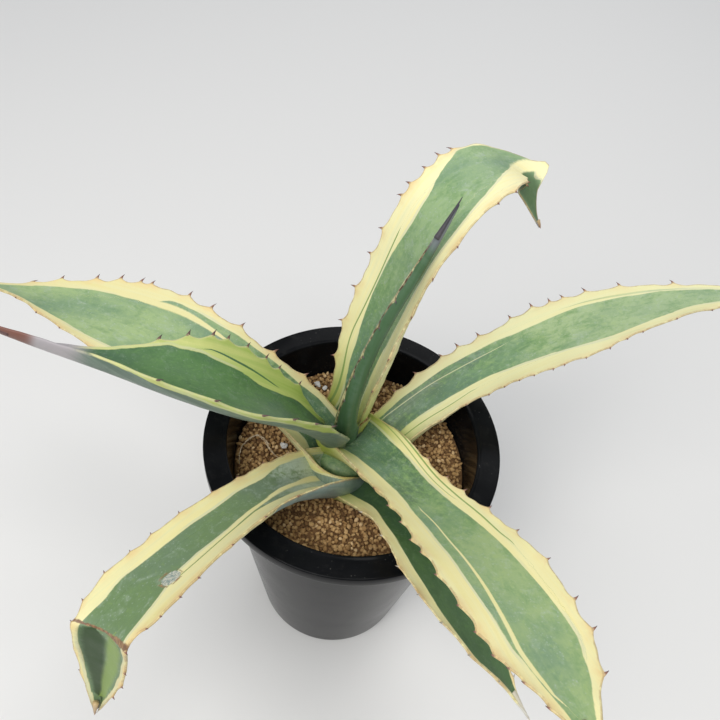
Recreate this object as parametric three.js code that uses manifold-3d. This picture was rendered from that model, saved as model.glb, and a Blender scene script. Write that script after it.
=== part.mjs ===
// Variegated agave in a deep round pot. Millimetres, +Z up, base of the pot on z = 0.
import * as THREE from "three";
import { mergeVertices } from "three/addons/utils/BufferGeometryUtils.js";
import Module from "manifold-3d";

const wasm = await Module();
wasm.setup();

// Pot: thin tapered wall, flat rim flange with a short skirt turned down at its edge.
const POT_HEIGHT = 170;
const RIM_OUTER_R = 75;
const RIM_INNER_R = 63.5;
const RIM_SKIRT = 7;
const RIM_THICK = 1.8;
const BODY_TOP_R = 65;
const BASE_R = 46.5;
const WALL = 1.5;
const FLOOR = 2;
const DRAIN_HOLES = 8;
const DRAIN_HOLE_R = 4.5;
const DRAIN_CIRCLE_R = 30;
const POT_FACETS = 64;

// Fill: a drainage layer under the granular mix, whose top lies below the rim.
const GAP = 0.35;
const GRAVEL_TOP = 16;
const SOIL_TOP = 147;
const SOIL_LUMP = 0.7;
const SOIL_RINGS = 8;
const SOIL_FACETS = 40;

// Stem: a short thick trunk with a domed top, on main roots that run down and out.
const STEM_R = 12;
const STEM_BOTTOM = 112;
const STEM_TOP = 159;
const STEM_CENTRE = [0, 1];
const ROOT_R = 2.6;
const ROOT_COUNT = 6;
const ROOT_REACH = 34;
const ROOT_DEPTH = 62;

// Leaves. Section thickness along the leaf, and the blunt edge of the margin.
const THICK_AT = [0, 0.2, 0.5, 0.8, 1];
const THICK = [8, 6, 4.5, 3, 0.8];
const EDGE_THICK = 1;
const TIP_HALF_WIDTH = 0.4;
const WIDTH_AT = [0, 0.1, 0.3, 0.55, 0.8, 0.93, 1];
const TURN_AT = [0, 0.25, 0.5, 0.75, 1];
const TWIST_AT = [0, 0.5, 1];
const BEND_AT = [0, 0.3, 0.65, 1];
const TOOTH_HALF = 0.007;

// Each leaf starts at base. heading and pitch are the compass and climb angles of its spine at
// TURN_AT, twist turns the blade about its spine, width is the half-width at WIDTH_AT, bend is
// the angle the section's arc takes in, and fold is a crease: where, its length, new heading
// and new pitch.
const LEAVES = {
  leaf_spear: {
    base: [-7, -6, 155],
    length: 158,
    heading: [235, 230, 226, 225, 230],
    pitch: [84, 96, 110, 121, 123],
    twist: [0, 0, 5],
    width: [8.5, 9, 7.5, 5.5, 4, 2],
    bend: [260, 265, 265, 270],
    thick: 0.3,
    teeth: 0,
    across: 9,
    color: 0x476a43,
  },
  leaf_back: {
    base: [-5, 14, 151],
    length: 225,
    heading: [53, 50, 47, 48, 45],
    pitch: [82, 77, 73, -2, -74],
    twist: [6, 17, -20],
    width: [20, 15, 21, 21, 17, 5],
    bend: [105, 85, 25, 30],
    fold: [0.84, 0.08, -35, -52],
    thick: 1,
    teeth: 11,
    across: 5,
    color: 0x7d9a66,
  },
  leaf_left_upper: {
    base: [-3, -1, 151],
    length: 207,
    heading: [239, 221, 208, 186, 179],
    pitch: [71, 59, 41, 19, 19],
    twist: [-9, -11, -95],
    width: [17, 15.5, 19, 26, 13, 5],
    bend: [140, 110, 95, 75],
    thick: 0.8,
    teeth: 9,
    across: 7,
    color: 0x6f8f5c,
  },
  leaf_front_right: {
    base: [1, 4, 153],
    length: 209,
    heading: [313, 302, 297, 293, 281],
    pitch: [39, 35, 36, 26, 26],
    twist: [-4, 8, -2],
    width: [21.5, 18.5, 16.5, 21, 19, 7],
    bend: [135, 40, 25, 50],
    thick: 1,
    teeth: 11,
    across: 5,
    color: 0x86a06a,
  },
  leaf_right: {
    base: [10, 4, 147],
    length: 223,
    heading: [48, 31, 21, 12, 3],
    pitch: [45, 32, 26, 18, 11],
    twist: [0, 0, 12],
    width: [16.5, 12.5, 16.5, 18.5, 10.5, 5],
    bend: [120, 65, 35, 35],
    thick: 1,
    teeth: 12,
    across: 5,
    color: 0x809c6a,
  },
  leaf_left_lower: {
    base: [-10, 2, 149],
    length: 204,
    heading: [156, 168, 177, 177, 181],
    pitch: [53, 33, 15, 7, -2],
    twist: [8, 8, -40],
    width: [15.5, 15.5, 15, 24, 14, 4.5],
    bend: [110, 65, 25, 45],
    thick: 1,
    teeth: 10,
    across: 5,
    color: 0x819b68,
  },
  leaf_front_left: {
    base: [-3, -7, 147],
    length: 214,
    heading: [235, 236, 238, 236, 235],
    pitch: [46, 33, 11, -11, -31],
    twist: [5, -26, 7],
    width: [17.5, 16, 15.5, 19, 15.5, 6.5],
    bend: [115, 55, 45, 30],
    fold: [0.7, 0.04, 244, -73],
    thick: 1,
    teeth: 9,
    across: 5,
    color: 0x7b976a,
  },
  leaf_front_lower: {
    base: [2, -12, 149],
    length: 148,
    heading: [313, 308, 304, 308, 314],
    pitch: [47, 28, 8, -7, -20],
    twist: [-15, 2, 41],
    width: [16.5, 16.5, 13, 16, 10, 4.5],
    bend: [115, 60, 40, 60],
    thick: 1,
    teeth: 8,
    across: 5,
    color: 0x5c7a52,
  },
};

// Loose trim on the fill: white pumice bits and one dry curled fibre.
const PUMICE = {
  pumice_a: [-25, 44.5, 149.6, 2.3],
  pumice_b: [-20.5, 43, 149.4, 1.9],
  pumice_c: [-36, 1.5, 149.5, 2.1],
};
const FIBRE_R = 0.5;
const FIBRE_PATH = [
  [-56, -14, 148.7],
  [-57.5, -6, 149.4],
  [-55, 1, 149.8],
  [-50.5, 4.5, 149.9],
  [-46, 2.5, 149.8],
  [-42, -3, 149.5],
  [-36.5, -7, 148.8],
];

function random(seed) {
  let state = seed;
  return () => {
    state = (state * 1664525 + 1013904223) % 4294967296;
    return state / 4294967296;
  };
}

// A monotone cubic through the points (xs, ys), so a width never overshoots.
function smoothCurve(xs, ys) {
  const n = xs.length;
  const h = [];
  const m = [];
  for (let i = 0; i < n - 1; i += 1) {
    h.push(xs[i + 1] - xs[i]);
    m.push((ys[i + 1] - ys[i]) / h[i]);
  }
  const endSlope = (h0, h1, m0, m1) => {
    const d = ((2 * h0 + h1) * m0 - h0 * m1) / (h0 + h1);
    if (d * m0 <= 0) return 0;
    if (m0 * m1 < 0 && Math.abs(d) > 3 * Math.abs(m0)) return 3 * m0;
    return d;
  };
  const d = [endSlope(h[0], h[1], m[0], m[1])];
  for (let i = 1; i < n - 1; i += 1) {
    const w1 = 2 * h[i] + h[i - 1];
    const w2 = h[i] + 2 * h[i - 1];
    d.push(m[i - 1] * m[i] <= 0 ? 0 : (w1 + w2) / (w1 / m[i - 1] + w2 / m[i]));
  }
  d.push(endSlope(h[n - 2], h[n - 3], m[n - 2], m[n - 3]));
  return (x) => {
    let i = 0;
    while (i < n - 2 && x > xs[i + 1]) i += 1;
    const t = (x - xs[i]) / h[i];
    const a = ys[i] * (1 + 2 * t) * (1 - t) * (1 - t);
    const b = d[i] * h[i] * t * (1 - t) * (1 - t);
    const c = ys[i + 1] * t * t * (3 - 2 * t);
    const e = d[i + 1] * h[i] * t * t * (t - 1);
    return a + b + c + e;
  };
}

// A closed body from points and triangles, turned to face out.
function solid(points, triangles) {
  let volume = 0;
  for (const [a, b, c] of triangles) {
    const [p, q, r] = [points[a], points[b], points[c]];
    volume += p[0] * (q[1] * r[2] - q[2] * r[1]);
    volume += p[1] * (q[2] * r[0] - q[0] * r[2]);
    volume += p[2] * (q[0] * r[1] - q[1] * r[0]);
  }
  const facing = volume < 0 ? triangles.map(([a, b, c]) => [a, c, b]) : triangles;
  return new wasm.Manifold(
    new wasm.Mesh({
      numProp: 3,
      vertProperties: new Float32Array(points.flat()),
      triVerts: new Uint32Array(facing.flat()),
    }),
  );
}

// Rings of equal, even length joined into a tube. Each end is closed by strips across the ring.
function loft(rings) {
  const n = rings[0].length;
  const points = rings.flat();
  const triangles = [];
  for (let i = 0; i < rings.length - 1; i += 1) {
    for (let j = 0; j < n; j += 1) {
      const a = i * n + j;
      const b = i * n + ((j + 1) % n);
      triangles.push([a, b, b + n], [a, b + n, a + n]);
    }
  }
  for (const [start, flip] of [[0, false], [(rings.length - 1) * n, true]]) {
    for (let j = 0; j < n / 2 - 1; j += 1) {
      const [a, b] = [start + j, start + j + 1];
      const [c, d] = [start + n - 2 - j, start + n - 1 - j];
      triangles.push(...(flip ? [[a, b, c], [a, c, d]] : [[b, a, c], [c, a, d]]));
    }
  }
  return solid(points, triangles);
}

// A body of revolution about +Z from a profile of [radius, height] that starts and ends at r = 0.
function revolve(profile, facets, centre = [0, 0], lump = () => 0) {
  const inner = profile.slice(1, -1);
  const points = [];
  for (const [r, z] of inner) {
    for (let j = 0; j < facets; j += 1) {
      const angle = (2 * Math.PI * j) / facets;
      const x = centre[0] + r * Math.cos(angle);
      const y = centre[1] + r * Math.sin(angle);
      points.push([x, y, z + lump(r, z)]);
    }
  }
  const triangles = [];
  for (let i = 0; i < inner.length - 1; i += 1) {
    for (let j = 0; j < facets; j += 1) {
      const a = i * facets + j;
      const b = i * facets + ((j + 1) % facets);
      triangles.push([a, b, b + facets], [a, b + facets, a + facets]);
    }
  }
  const first = points.length;
  points.push([centre[0], centre[1], profile[0][1]]);
  points.push([centre[0], centre[1], profile[profile.length - 1][1]]);
  const last = (inner.length - 1) * facets;
  for (let j = 0; j < facets; j += 1) {
    const k = (j + 1) % facets;
    triangles.push([k, j, first], [last + j, last + k, first + 1]);
  }
  return solid(points, triangles);
}

// A round bar along a smooth path, with a radius at each end.
function bar(path, startR, endR, steps, facets) {
  const curve = new THREE.CatmullRomCurve3(path.map((p) => new THREE.Vector3(...p)));
  const frames = curve.computeFrenetFrames(steps, false);
  const rings = [];
  for (let i = 0; i <= steps; i += 1) {
    const t = i / steps;
    const centre = curve.getPointAt(t);
    const radius = startR + (endR - startR) * t;
    const ring = [];
    for (let j = 0; j < facets; j += 1) {
      const angle = (2 * Math.PI * j) / facets;
      const across = frames.normals[i].clone().multiplyScalar(radius * Math.cos(angle));
      across.addScaledVector(frames.binormals[i], radius * Math.sin(angle));
      ring.push(centre.clone().add(across).toArray());
    }
    rings.push(ring);
  }
  return loft(rings);
}

// Stations along a leaf: an even run, and three around each tooth on the margins.
function leafStations(leaf, toothed) {
  const stations = [];
  for (let i = 0; i <= 24; i += 1) stations.push(i / 24);
  if (leaf.fold) {
    const [at, run] = leaf.fold;
    for (let i = 0; i <= 4; i += 1) stations.push(at + (run * i) / 4);
  }
  const teeth = [];
  for (let i = 0; toothed && i < leaf.teeth; i += 1) {
    teeth.push(0.16 + (0.74 * (i + 0.5)) / leaf.teeth);
  }
  const near = (s) => teeth.some((t) => Math.abs(s - t) < 2 * TOOTH_HALF);
  const kept = stations.filter((s) => !near(s)).map((s) => [s, false]);
  for (const t of teeth) kept.push([t - TOOTH_HALF, false], [t, true], [t + TOOTH_HALF, false]);
  kept.sort((a, b) => a[0] - b[0]);
  return kept.filter(([s], i) => i === 0 || s - kept[i - 1][0] > 0.002);
}

// The solid of one leaf. grow swells it on every side, for cutting a clearance round it, and
// then a rolled leaf is filled, so that nothing is left inside its roll.
function leafSolid(leaf, grow = 0) {
  const heading = smoothCurve(TURN_AT, leaf.heading);
  const pitch = smoothCurve(TURN_AT, leaf.pitch);
  const twist = smoothCurve(TWIST_AT, leaf.twist);
  const width = smoothCurve(WIDTH_AT, [...leaf.width, TIP_HALF_WIDTH]);
  const bend = smoothCurve(BEND_AT, leaf.bend);
  const thick = smoothCurve(THICK_AT, THICK);
  const rad = Math.PI / 180;

  const direction = (s) => {
    let turn = heading(s);
    let climb = pitch(s);
    if (leaf.fold) {
      const [at, run, foldTurn, foldClimb] = leaf.fold;
      const t = Math.min(1, Math.max(0, (s - at) / run));
      const k = t * t * (3 - 2 * t);
      turn += (foldTurn - turn) * k;
      climb += (foldClimb - climb) * k;
    }
    const along = new THREE.Vector3(
      Math.cos(climb * rad) * Math.cos(turn * rad),
      Math.cos(climb * rad) * Math.sin(turn * rad),
      Math.sin(climb * rad),
    );
    const side = new THREE.Vector3(Math.sin(turn * rad), -Math.cos(turn * rad), 0);
    side.applyAxisAngle(along, -twist(s) * rad);
    return { along, side, up: new THREE.Vector3().crossVectors(side, along) };
  };

  const stations = leafStations(leaf, grow === 0);
  const spine = new THREE.Vector3(...leaf.base);
  const rings = [];
  let previous = 0;
  const fine = 10;
  for (const [s, tooth] of stations) {
    for (let k = 0; k < fine; k += 1) {
      const mid = previous + ((s - previous) * (k + 0.5)) / fine;
      spine.addScaledVector(direction(mid).along, ((s - previous) * leaf.length) / fine);
    }
    previous = s;
    const { side, up } = direction(s);
    const half = width(s);
    const half_bend = (bend(s) * rad) / 2;
    const radius = half / half_bend;
    const middle = thick(s) * leaf.thick;
    const top = [];
    const under = [];
    for (let j = 0; j < leaf.across; j += 1) {
      let u = -1 + (2 * j) / (leaf.across - 1);
      const edge = Math.abs(u) > 0.99;
      if (edge) u *= 1 + (grow + (tooth ? 2.4 : 0)) / half;
      const angle = half_bend * u;
      const core = Math.max(0, middle - EDGE_THICK) * Math.max(0, 1 - u * u) ** 0.8;
      const depth = Math.min(EDGE_THICK + core, half * 0.8) * (tooth && edge ? 0.5 : 1);
      const out = side.clone().multiplyScalar(Math.sin(angle));
      out.addScaledVector(up, -Math.cos(angle));
      const heart = spine.clone().addScaledVector(up, radius);
      top.push(heart.clone().addScaledVector(out, radius - grow).toArray());
      under.push(heart.clone().addScaledVector(out, radius + depth + grow).toArray());
    }
    rings.push([...top, ...under.reverse()]);
  }
  if (grow === 0 || leaf.bend[0] < 180) return loft(rings);
  let filled = wasm.Manifold.hull([...rings[0], ...rings[1]]);
  for (let i = 2; i < rings.length; i += 1) {
    filled = filled.add(wasm.Manifold.hull([...rings[i - 1], ...rings[i]]));
  }
  return filled;
}

// The biggest piece that a cut leaves, its near-equal corners merged so that no sliver stays.
function largest(body) {
  let piece = body.simplify(0.02);
  for (let pass = 0; pass < 3; pass += 1) {
    const mesh = piece.getMesh();
    const geometry = new THREE.BufferGeometry();
    geometry.setAttribute("position", new THREE.BufferAttribute(mesh.vertProperties, 3));
    geometry.setIndex(new THREE.BufferAttribute(mesh.triVerts, 1));
    const merged = mergeVertices(geometry, 2e-3);
    const vertProperties = new Float32Array(merged.getAttribute("position").array);
    const triVerts = new Uint32Array(merged.index.array);
    piece = new wasm.Manifold(new wasm.Mesh({ numProp: 3, vertProperties, triVerts }));
    piece = piece.decompose().sort((a, b) => b.volume() - a.volume())[0];
  }
  return piece;
}

function potBody() {
  const skirtR = RIM_OUTER_R - RIM_THICK;
  const flangeZ = POT_HEIGHT - RIM_THICK;
  const profile = [
    [0, 0],
    [BASE_R - 2, 0],
    [BASE_R - 0.6, 0.6],
    [BASE_R, 2],
    [BODY_TOP_R, flangeZ],
    [skirtR, flangeZ],
    [skirtR, POT_HEIGHT - RIM_SKIRT],
    [RIM_OUTER_R, POT_HEIGHT - RIM_SKIRT],
    [RIM_OUTER_R, POT_HEIGHT - 0.8],
    [RIM_OUTER_R - 0.8, POT_HEIGHT],
    [RIM_INNER_R + 0.8, POT_HEIGHT],
    [RIM_INNER_R, POT_HEIGHT - 0.8],
    [BASE_R - WALL, FLOOR + 1.5],
    [BASE_R - WALL - 1.5, FLOOR],
    [0, FLOOR],
  ];
  let body = revolve(profile, POT_FACETS);
  for (let i = 0; i < DRAIN_HOLES; i += 1) {
    const angle = (2 * Math.PI * (i + 0.5)) / DRAIN_HOLES;
    const centre = [DRAIN_CIRCLE_R * Math.cos(angle), DRAIN_CIRCLE_R * Math.sin(angle)];
    const hole = [
      [0, -1],
      [DRAIN_HOLE_R, -1],
      [DRAIN_HOLE_R, FLOOR + 1],
      [0, FLOOR + 1],
    ];
    body = body.subtract(revolve(hole, 20, centre));
  }
  return body;
}

// Inside radius of the pot's wall at a height.
function wallR(z) {
  const low = FLOOR + 1.5;
  const t = (z - low) / (POT_HEIGHT - 0.8 - low);
  return BASE_R - WALL + (RIM_INNER_R - BASE_R + WALL) * Math.min(1, Math.max(0, t));
}

function gravelLayer() {
  const low = FLOOR + GAP;
  return revolve(
    [
      [0, low],
      [wallR(0) - 2 - GAP, low],
      [wallR(low + 2) - GAP, low + 2],
      [wallR(GRAVEL_TOP) - GAP, GRAVEL_TOP],
      [0, GRAVEL_TOP],
    ],
    SOIL_FACETS,
  );
}

function soilBody() {
  const low = GRAVEL_TOP + GAP;
  const edge = wallR(SOIL_TOP) - GAP;
  const profile = [
    [0, low],
    [wallR(low) - GAP, low],
    [edge, SOIL_TOP - 1.2],
  ];
  for (let i = 1; i < SOIL_RINGS; i += 1) {
    profile.push([(edge - 1) * (1 - (i - 1) / (SOIL_RINGS - 1)), SOIL_TOP]);
  }
  profile.push([0, SOIL_TOP]);
  const next = random(11);
  const lump = (r, z) => (z === SOIL_TOP ? SOIL_LUMP * (2 * next() - 1) : 0);
  return revolve(profile, SOIL_FACETS, [0, 0], lump);
}

// The stem and its roots. grow swells them, for cutting a clearance in the fill.
function stemBody(grow = 0) {
  const [cx, cy] = STEM_CENTRE;
  let body = revolve(
    [
      [0, STEM_BOTTOM - grow],
      [STEM_R * 0.6 + grow, STEM_BOTTOM + 1 - grow],
      [STEM_R * 0.95 + grow, STEM_BOTTOM + 9],
      [STEM_R + grow, STEM_BOTTOM + 22],
      [STEM_R + grow, STEM_TOP - 8],
      [STEM_R * 0.7 + grow, STEM_TOP - 2 + grow],
      [0, STEM_TOP + grow],
    ],
    28,
    STEM_CENTRE,
  );
  for (let i = 0; i < ROOT_COUNT; i += 1) {
    const angle = (2 * Math.PI * (i + 0.3)) / ROOT_COUNT;
    const at = (r, z) => [cx + r * Math.cos(angle), cy + r * Math.sin(angle), z];
    const depth = ROOT_DEPTH - 9 * (i % 3);
    const path = [
      at(3, STEM_BOTTOM + 12),
      at(12, STEM_BOTTOM + 4),
      at(ROOT_REACH * 0.75, STEM_BOTTOM - depth * 0.3),
      at(ROOT_REACH, STEM_BOTTOM - depth - grow),
    ];
    body = body.add(bar(path, ROOT_R + grow, ROOT_R * 0.35 + grow, 10, 8));
  }
  return body;
}

function pumiceBit([x, y, z, r], seed) {
  const ball = new THREE.IcosahedronGeometry(r, 0).getAttribute("position");
  const next = random(seed);
  const points = [];
  for (let i = 0; i < ball.count; i += 1) {
    const p = new THREE.Vector3().fromBufferAttribute(ball, i);
    points.push([x + p.x, y + p.y, z + p.z * (0.6 + 0.02 * next())]);
  }
  return wasm.Manifold.hull(points);
}

const group = new THREE.Group();
group.name = "potted_agave";

function addPiece(name, body, color, roughness) {
  const mesh = body.getMesh();
  const geometry = new THREE.BufferGeometry();
  geometry.setAttribute("position", new THREE.BufferAttribute(mesh.vertProperties, 3));
  geometry.setIndex(new THREE.BufferAttribute(mesh.triVerts, 1));
  geometry.computeVertexNormals();
  const piece = new THREE.Mesh(geometry, new THREE.MeshStandardMaterial({ color, roughness }));
  piece.name = name;
  group.add(piece);
}

addPiece("pot", potBody(), 0x17181a, 0.25);
addPiece("drainage_gravel", gravelLayer(), 0x7a6a58, 0.95);

// The inner leaves keep their whole base, and each outer one is cut back round them.
const cutters = [];
for (const [name, leaf] of Object.entries(LEAVES)) {
  let body = leafSolid(leaf);
  for (const cutter of cutters) body = body.subtract(cutter);
  addPiece(name, largest(body), leaf.color, 0.5);
  cutters.push(leafSolid(leaf, GAP));
}

let crown = cutters[0];
for (const cutter of cutters.slice(1)) crown = crown.add(cutter);
const stem = largest(stemBody().subtract(crown).simplify(0.1));
addPiece("stem_roots", stem, 0xb7b48a, 0.8);

// The fill closes round the stem, the roots and any leaf base that reaches it.
let soil = soilBody();
soil = soil.subtract(stemBody(GAP)).subtract(crown);
addPiece("potting_mix", largest(soil), 0x8a6238, 0.95);

let seed = 3;
for (const [name, place] of Object.entries(PUMICE)) {
  addPiece(name, pumiceBit(place, seed), 0xdedbd2, 0.9);
  seed += 1;
}
addPiece("dry_fibre", bar(FIBRE_PATH, FIBRE_R, FIBRE_R * 0.7, 28, 8), 0xb9a07a, 0.8);

export default group;
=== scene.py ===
"""A variegated agave in a deep round pot: the finished looks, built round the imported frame.

Sizes are in millimetres unless a name says otherwise, angles are in degrees, and meshes are made in metres.
"""

import logging
import math
from dataclasses import dataclass, field
from enum import Enum
from typing import Optional, Sequence

import bmesh
import bpy
import numpy as np
from mathutils import Matrix, Vector


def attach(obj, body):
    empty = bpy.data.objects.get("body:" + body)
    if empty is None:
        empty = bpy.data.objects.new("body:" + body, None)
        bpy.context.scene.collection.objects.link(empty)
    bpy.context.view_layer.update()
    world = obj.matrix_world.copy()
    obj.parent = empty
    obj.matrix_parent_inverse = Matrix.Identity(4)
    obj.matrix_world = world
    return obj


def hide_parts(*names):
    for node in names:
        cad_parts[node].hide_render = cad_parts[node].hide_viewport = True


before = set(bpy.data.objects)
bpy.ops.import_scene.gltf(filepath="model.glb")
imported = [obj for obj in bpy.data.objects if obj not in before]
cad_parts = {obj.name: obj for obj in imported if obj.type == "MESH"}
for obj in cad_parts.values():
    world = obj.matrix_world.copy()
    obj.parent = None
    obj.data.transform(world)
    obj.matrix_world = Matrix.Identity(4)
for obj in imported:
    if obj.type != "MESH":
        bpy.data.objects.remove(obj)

LOG = logging.getLogger("potted_agave")
MM = 0.001
BODY = "root"

Colour = tuple[float, float, float]
Table = tuple[tuple[float, float], ...]
Profile = Sequence[tuple[float, float]]
Faces = list[tuple[int, ...]]
Socket = bpy.types.NodeSocket


def smooth_curve(knots: Sequence[float], values: Sequence[float], where: np.ndarray) -> np.ndarray:
    """A monotone cubic through the knots, which never overshoots its values.

    Args:
        knots: Rising positions.
        values: The value at each knot.
        where: The positions to read.

    Returns:
        The value at each position.
    """
    x, y = np.asarray(knots, float), np.asarray(values, float)
    step, slope = np.diff(x), np.diff(y) / np.diff(x)
    if len(x) == 2:
        return y[0] + slope[0] * (np.clip(where, x[0], x[1]) - x[0])

    def end(h0: float, h1: float, m0: float, m1: float) -> float:
        """The rate at an end knot, from the steps and the slopes beside it."""
        there = ((2 * h0 + h1) * m0 - h0 * m1) / (h0 + h1)
        return 0.0 if there * m0 <= 0 else 3 * m0 if m0 * m1 < 0 and abs(there) > 3 * abs(m0) else there

    rate = np.zeros(len(x))
    for i in range(1, len(x) - 1):
        if slope[i - 1] * slope[i] > 0:
            w1, w2 = 2 * step[i] + step[i - 1], step[i] + 2 * step[i - 1]
            rate[i] = (w1 + w2) / (w1 / slope[i - 1] + w2 / slope[i])
    rate[0] = end(step[0], step[1], slope[0], slope[1])
    rate[-1] = end(step[-1], step[-2], slope[-1], slope[-2])
    at = np.clip(np.asarray(where, float), x[0], x[-1])
    i = np.clip(np.searchsorted(x, at, side="right") - 1, 0, len(x) - 2)
    t = (at - x[i]) / step[i]
    low = y[i] * (1 + 2 * t) * (1 - t) ** 2 + rate[i] * step[i] * t * (1 - t) ** 2
    high = y[i + 1] * t * t * (3 - 2 * t) + rate[i + 1] * step[i] * t * t * (t - 1)
    return low + high


def read_table(table: Table, where: np.ndarray) -> np.ndarray:
    """Reads a (position, value) table as a smooth curve."""
    return smooth_curve([row[0] for row in table], [row[1] for row in table], where)


def wobble(where: np.ndarray, seed: int, waves: Sequence[float]) -> np.ndarray:
    """A smooth random wave of about unit height.

    Args:
        where: Positions along the run.
        seed: Chooses the phases.
        waves: How many waves per unit, for each part of the sum.

    Returns:
        The height at each position.
    """
    draw = np.random.default_rng(seed)
    total = np.zeros_like(where, dtype=float)
    for count in waves:
        total += np.sin(2 * math.pi * (count * where + draw.random())) / len(waves)
    return total


def ease(value: np.ndarray, low: float, high: float) -> np.ndarray:
    """Goes smoothly from 0 at low to 1 at high."""
    t = np.clip((value - low) / (high - low), 0, 1)
    return t * t * (3 - 2 * t)


def bell(value: np.ndarray, width: float, power: float = 2) -> np.ndarray:
    """A bell curve that is 1 at zero."""
    return np.exp(-((value / width) ** power))


def unit(vector: np.ndarray) -> np.ndarray:
    """The vector, or each row of vectors, at unit length."""
    return vector / np.linalg.norm(vector, axis=-1, keepdims=True)


def turns(count: int) -> np.ndarray:
    """Even angles round a full turn, in radians."""
    return np.linspace(0, 2 * math.pi, count, endpoint=False)


# -------- meshes


@dataclass
class Build:
    """Points and faces gathered for one mesh, in millimetres."""

    points: list[np.ndarray] = field(default_factory=list)
    faces: Faces = field(default_factory=list)
    marks: dict[str, list[np.ndarray]] = field(default_factory=dict)
    count: int = 0

    def add(self, points: np.ndarray, faces: Sequence[Sequence[int]], **marks: np.ndarray) -> None:
        """Adds one closed part.

        Args:
            points: The part's points.
            faces: Its faces, as indices into points.
            marks: Named numbers, one per point, that the materials read.
        """
        self.points.append(np.asarray(points, float))
        self.faces.extend(tuple(int(i) + self.count for i in face) for face in faces)
        for name, values in marks.items():
            spread = np.broadcast_to(np.asarray(values, float), (len(points),))
            self.marks.setdefault(name, []).append(spread)
        self.count += len(points)

    def finish(self, name: str, smooth: bool = True) -> bpy.types.Object:
        """Makes the object.

        Args:
            name: The piece's name.
            smooth: Whether its faces are shaded smooth.

        Returns:
            The object, linked to the scene.
        """
        mesh = bpy.data.meshes.new(name)
        mesh.from_pydata((np.vstack(self.points) * MM).tolist(), [], self.faces)
        for mark, parts in self.marks.items():
            layer = mesh.attributes.new(mark, "FLOAT", "POINT")
            layer.data.foreach_set("value", np.concatenate(parts).astype(np.float32))
        mesh.validate()
        mesh.update()
        face_out(mesh)
        mesh.polygons.foreach_set("use_smooth", [smooth] * len(mesh.polygons))
        piece = bpy.data.objects.new(name, mesh)
        bpy.context.scene.collection.objects.link(piece)
        return piece


def face_out(mesh: bpy.types.Mesh) -> None:
    """Turns every face of a mesh outwards.

    Args:
        mesh: The mesh, which is changed in place.
    """
    shape = bmesh.new()
    shape.from_mesh(mesh)
    bmesh.ops.recalc_face_normals(shape, faces=shape.faces)
    shape.to_mesh(mesh)
    shape.free()


def one_part(name: str, points: np.ndarray, faces: Faces, **marks: np.ndarray) -> bpy.types.Object:
    """Makes an object from one closed part.

    Args:
        name: The piece's name.
        points: Its points.
        faces: Its faces, as indices into points.
        marks: Named numbers, one per point.

    Returns:
        The object, linked to the scene.
    """
    build = Build()
    build.add(points, faces, **marks)
    return build.finish(name)


def wall_faces(rings: int, around: int) -> Faces:
    """Faces between equal rings, one ring after another.

    Args:
        rings: How many rings.
        around: Points in each ring.

    Returns:
        The faces, with both ends left open.
    """
    faces: Faces = []
    for i in range(rings - 1):
        for j in range(around):
            k = (j + 1) % around
            faces.append((i * around + j, i * around + k, (i + 1) * around + k, (i + 1) * around + j))
    return faces


def tube_faces(rings: int, around: int) -> Faces:
    """Faces of a closed tube of equal rings, its ends closed across the ring.

    Args:
        rings: How many rings.
        around: Points in each ring, an even number.

    Returns:
        The faces.
    """
    faces = wall_faces(rings, around)
    for start in (0, (rings - 1) * around):
        for j in range(around // 2 - 1):
            faces.append((start + j, start + j + 1, start + around - 2 - j, start + around - 1 - j))
    return faces


def oval(centre: np.ndarray, turn: np.ndarray, wide: np.ndarray, deep: np.ndarray) -> np.ndarray:
    """An oval ring of points about a centre, at angles in radians, with the reach of its two axes."""
    return centre + np.outer(np.cos(turn), wide) + np.outer(np.sin(turn), deep)


def lathe(profile: Profile, facets: int) -> tuple[np.ndarray, Faces]:
    """A closed body of revolution about +Z.

    Args:
        profile: (radius, height) pairs that start and end on the axis.
        facets: Points round the body.

    Returns:
        Its points and faces.
    """
    turn = turns(facets)
    inner = profile[1:-1]
    rings = [np.stack([r * np.cos(turn), r * np.sin(turn), np.full(facets, z)], -1) for r, z in inner]
    ends = np.array([[0, 0, profile[0][1]], [0, 0, profile[-1][1]]])
    points = np.vstack([*rings, ends])
    faces = wall_faces(len(inner), facets)
    low, last = len(points) - 2, (len(inner) - 1) * facets
    for j in range(facets):
        k = (j + 1) % facets
        faces.append((k, j, low))
        faces.append((last + j, last + k, low + 1))
    return points, faces


def rounded(
    profile: Profile, radius: float, steps: int = 4, most: float = 0.45
) -> list[tuple[float, float]]:
    """Rounds the corners of a profile.

    Args:
        profile: (radius, height) pairs.
        radius: How far from each corner the round starts, at most.
        steps: Points in each round.
        most: The largest share of either side that a round takes.

    Returns:
        The rounded profile.
    """
    out = [profile[0]]
    for before, corner, after in zip(profile, profile[1:], profile[2:]):
        p, c, n = (np.array(q, float) for q in (before, corner, after))
        reach = min(radius, most * np.linalg.norm(p - c), most * np.linalg.norm(n - c))
        start, stop = c + unit(p - c) * reach, c + unit(n - c) * reach
        for t in np.linspace(0, 1, steps):
            point = (1 - t) ** 2 * start + 2 * t * (1 - t) * c + t * t * stop
            out.append((float(point[0]), float(point[1])))
    out.append(profile[-1])
    return out


def ball(subdivisions: int, radius: float) -> tuple[np.ndarray, Faces]:
    """A faceted ball about the origin.

    Args:
        subdivisions: How finely it is divided.
        radius: Its radius.

    Returns:
        Its points and faces.
    """
    shape = bmesh.new()
    bmesh.ops.create_icosphere(shape, subdivisions=subdivisions, radius=radius)
    points = np.array([v.co for v in shape.verts])
    faces = [tuple(v.index for v in f.verts) for f in shape.faces]
    shape.free()
    return points, faces


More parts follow.
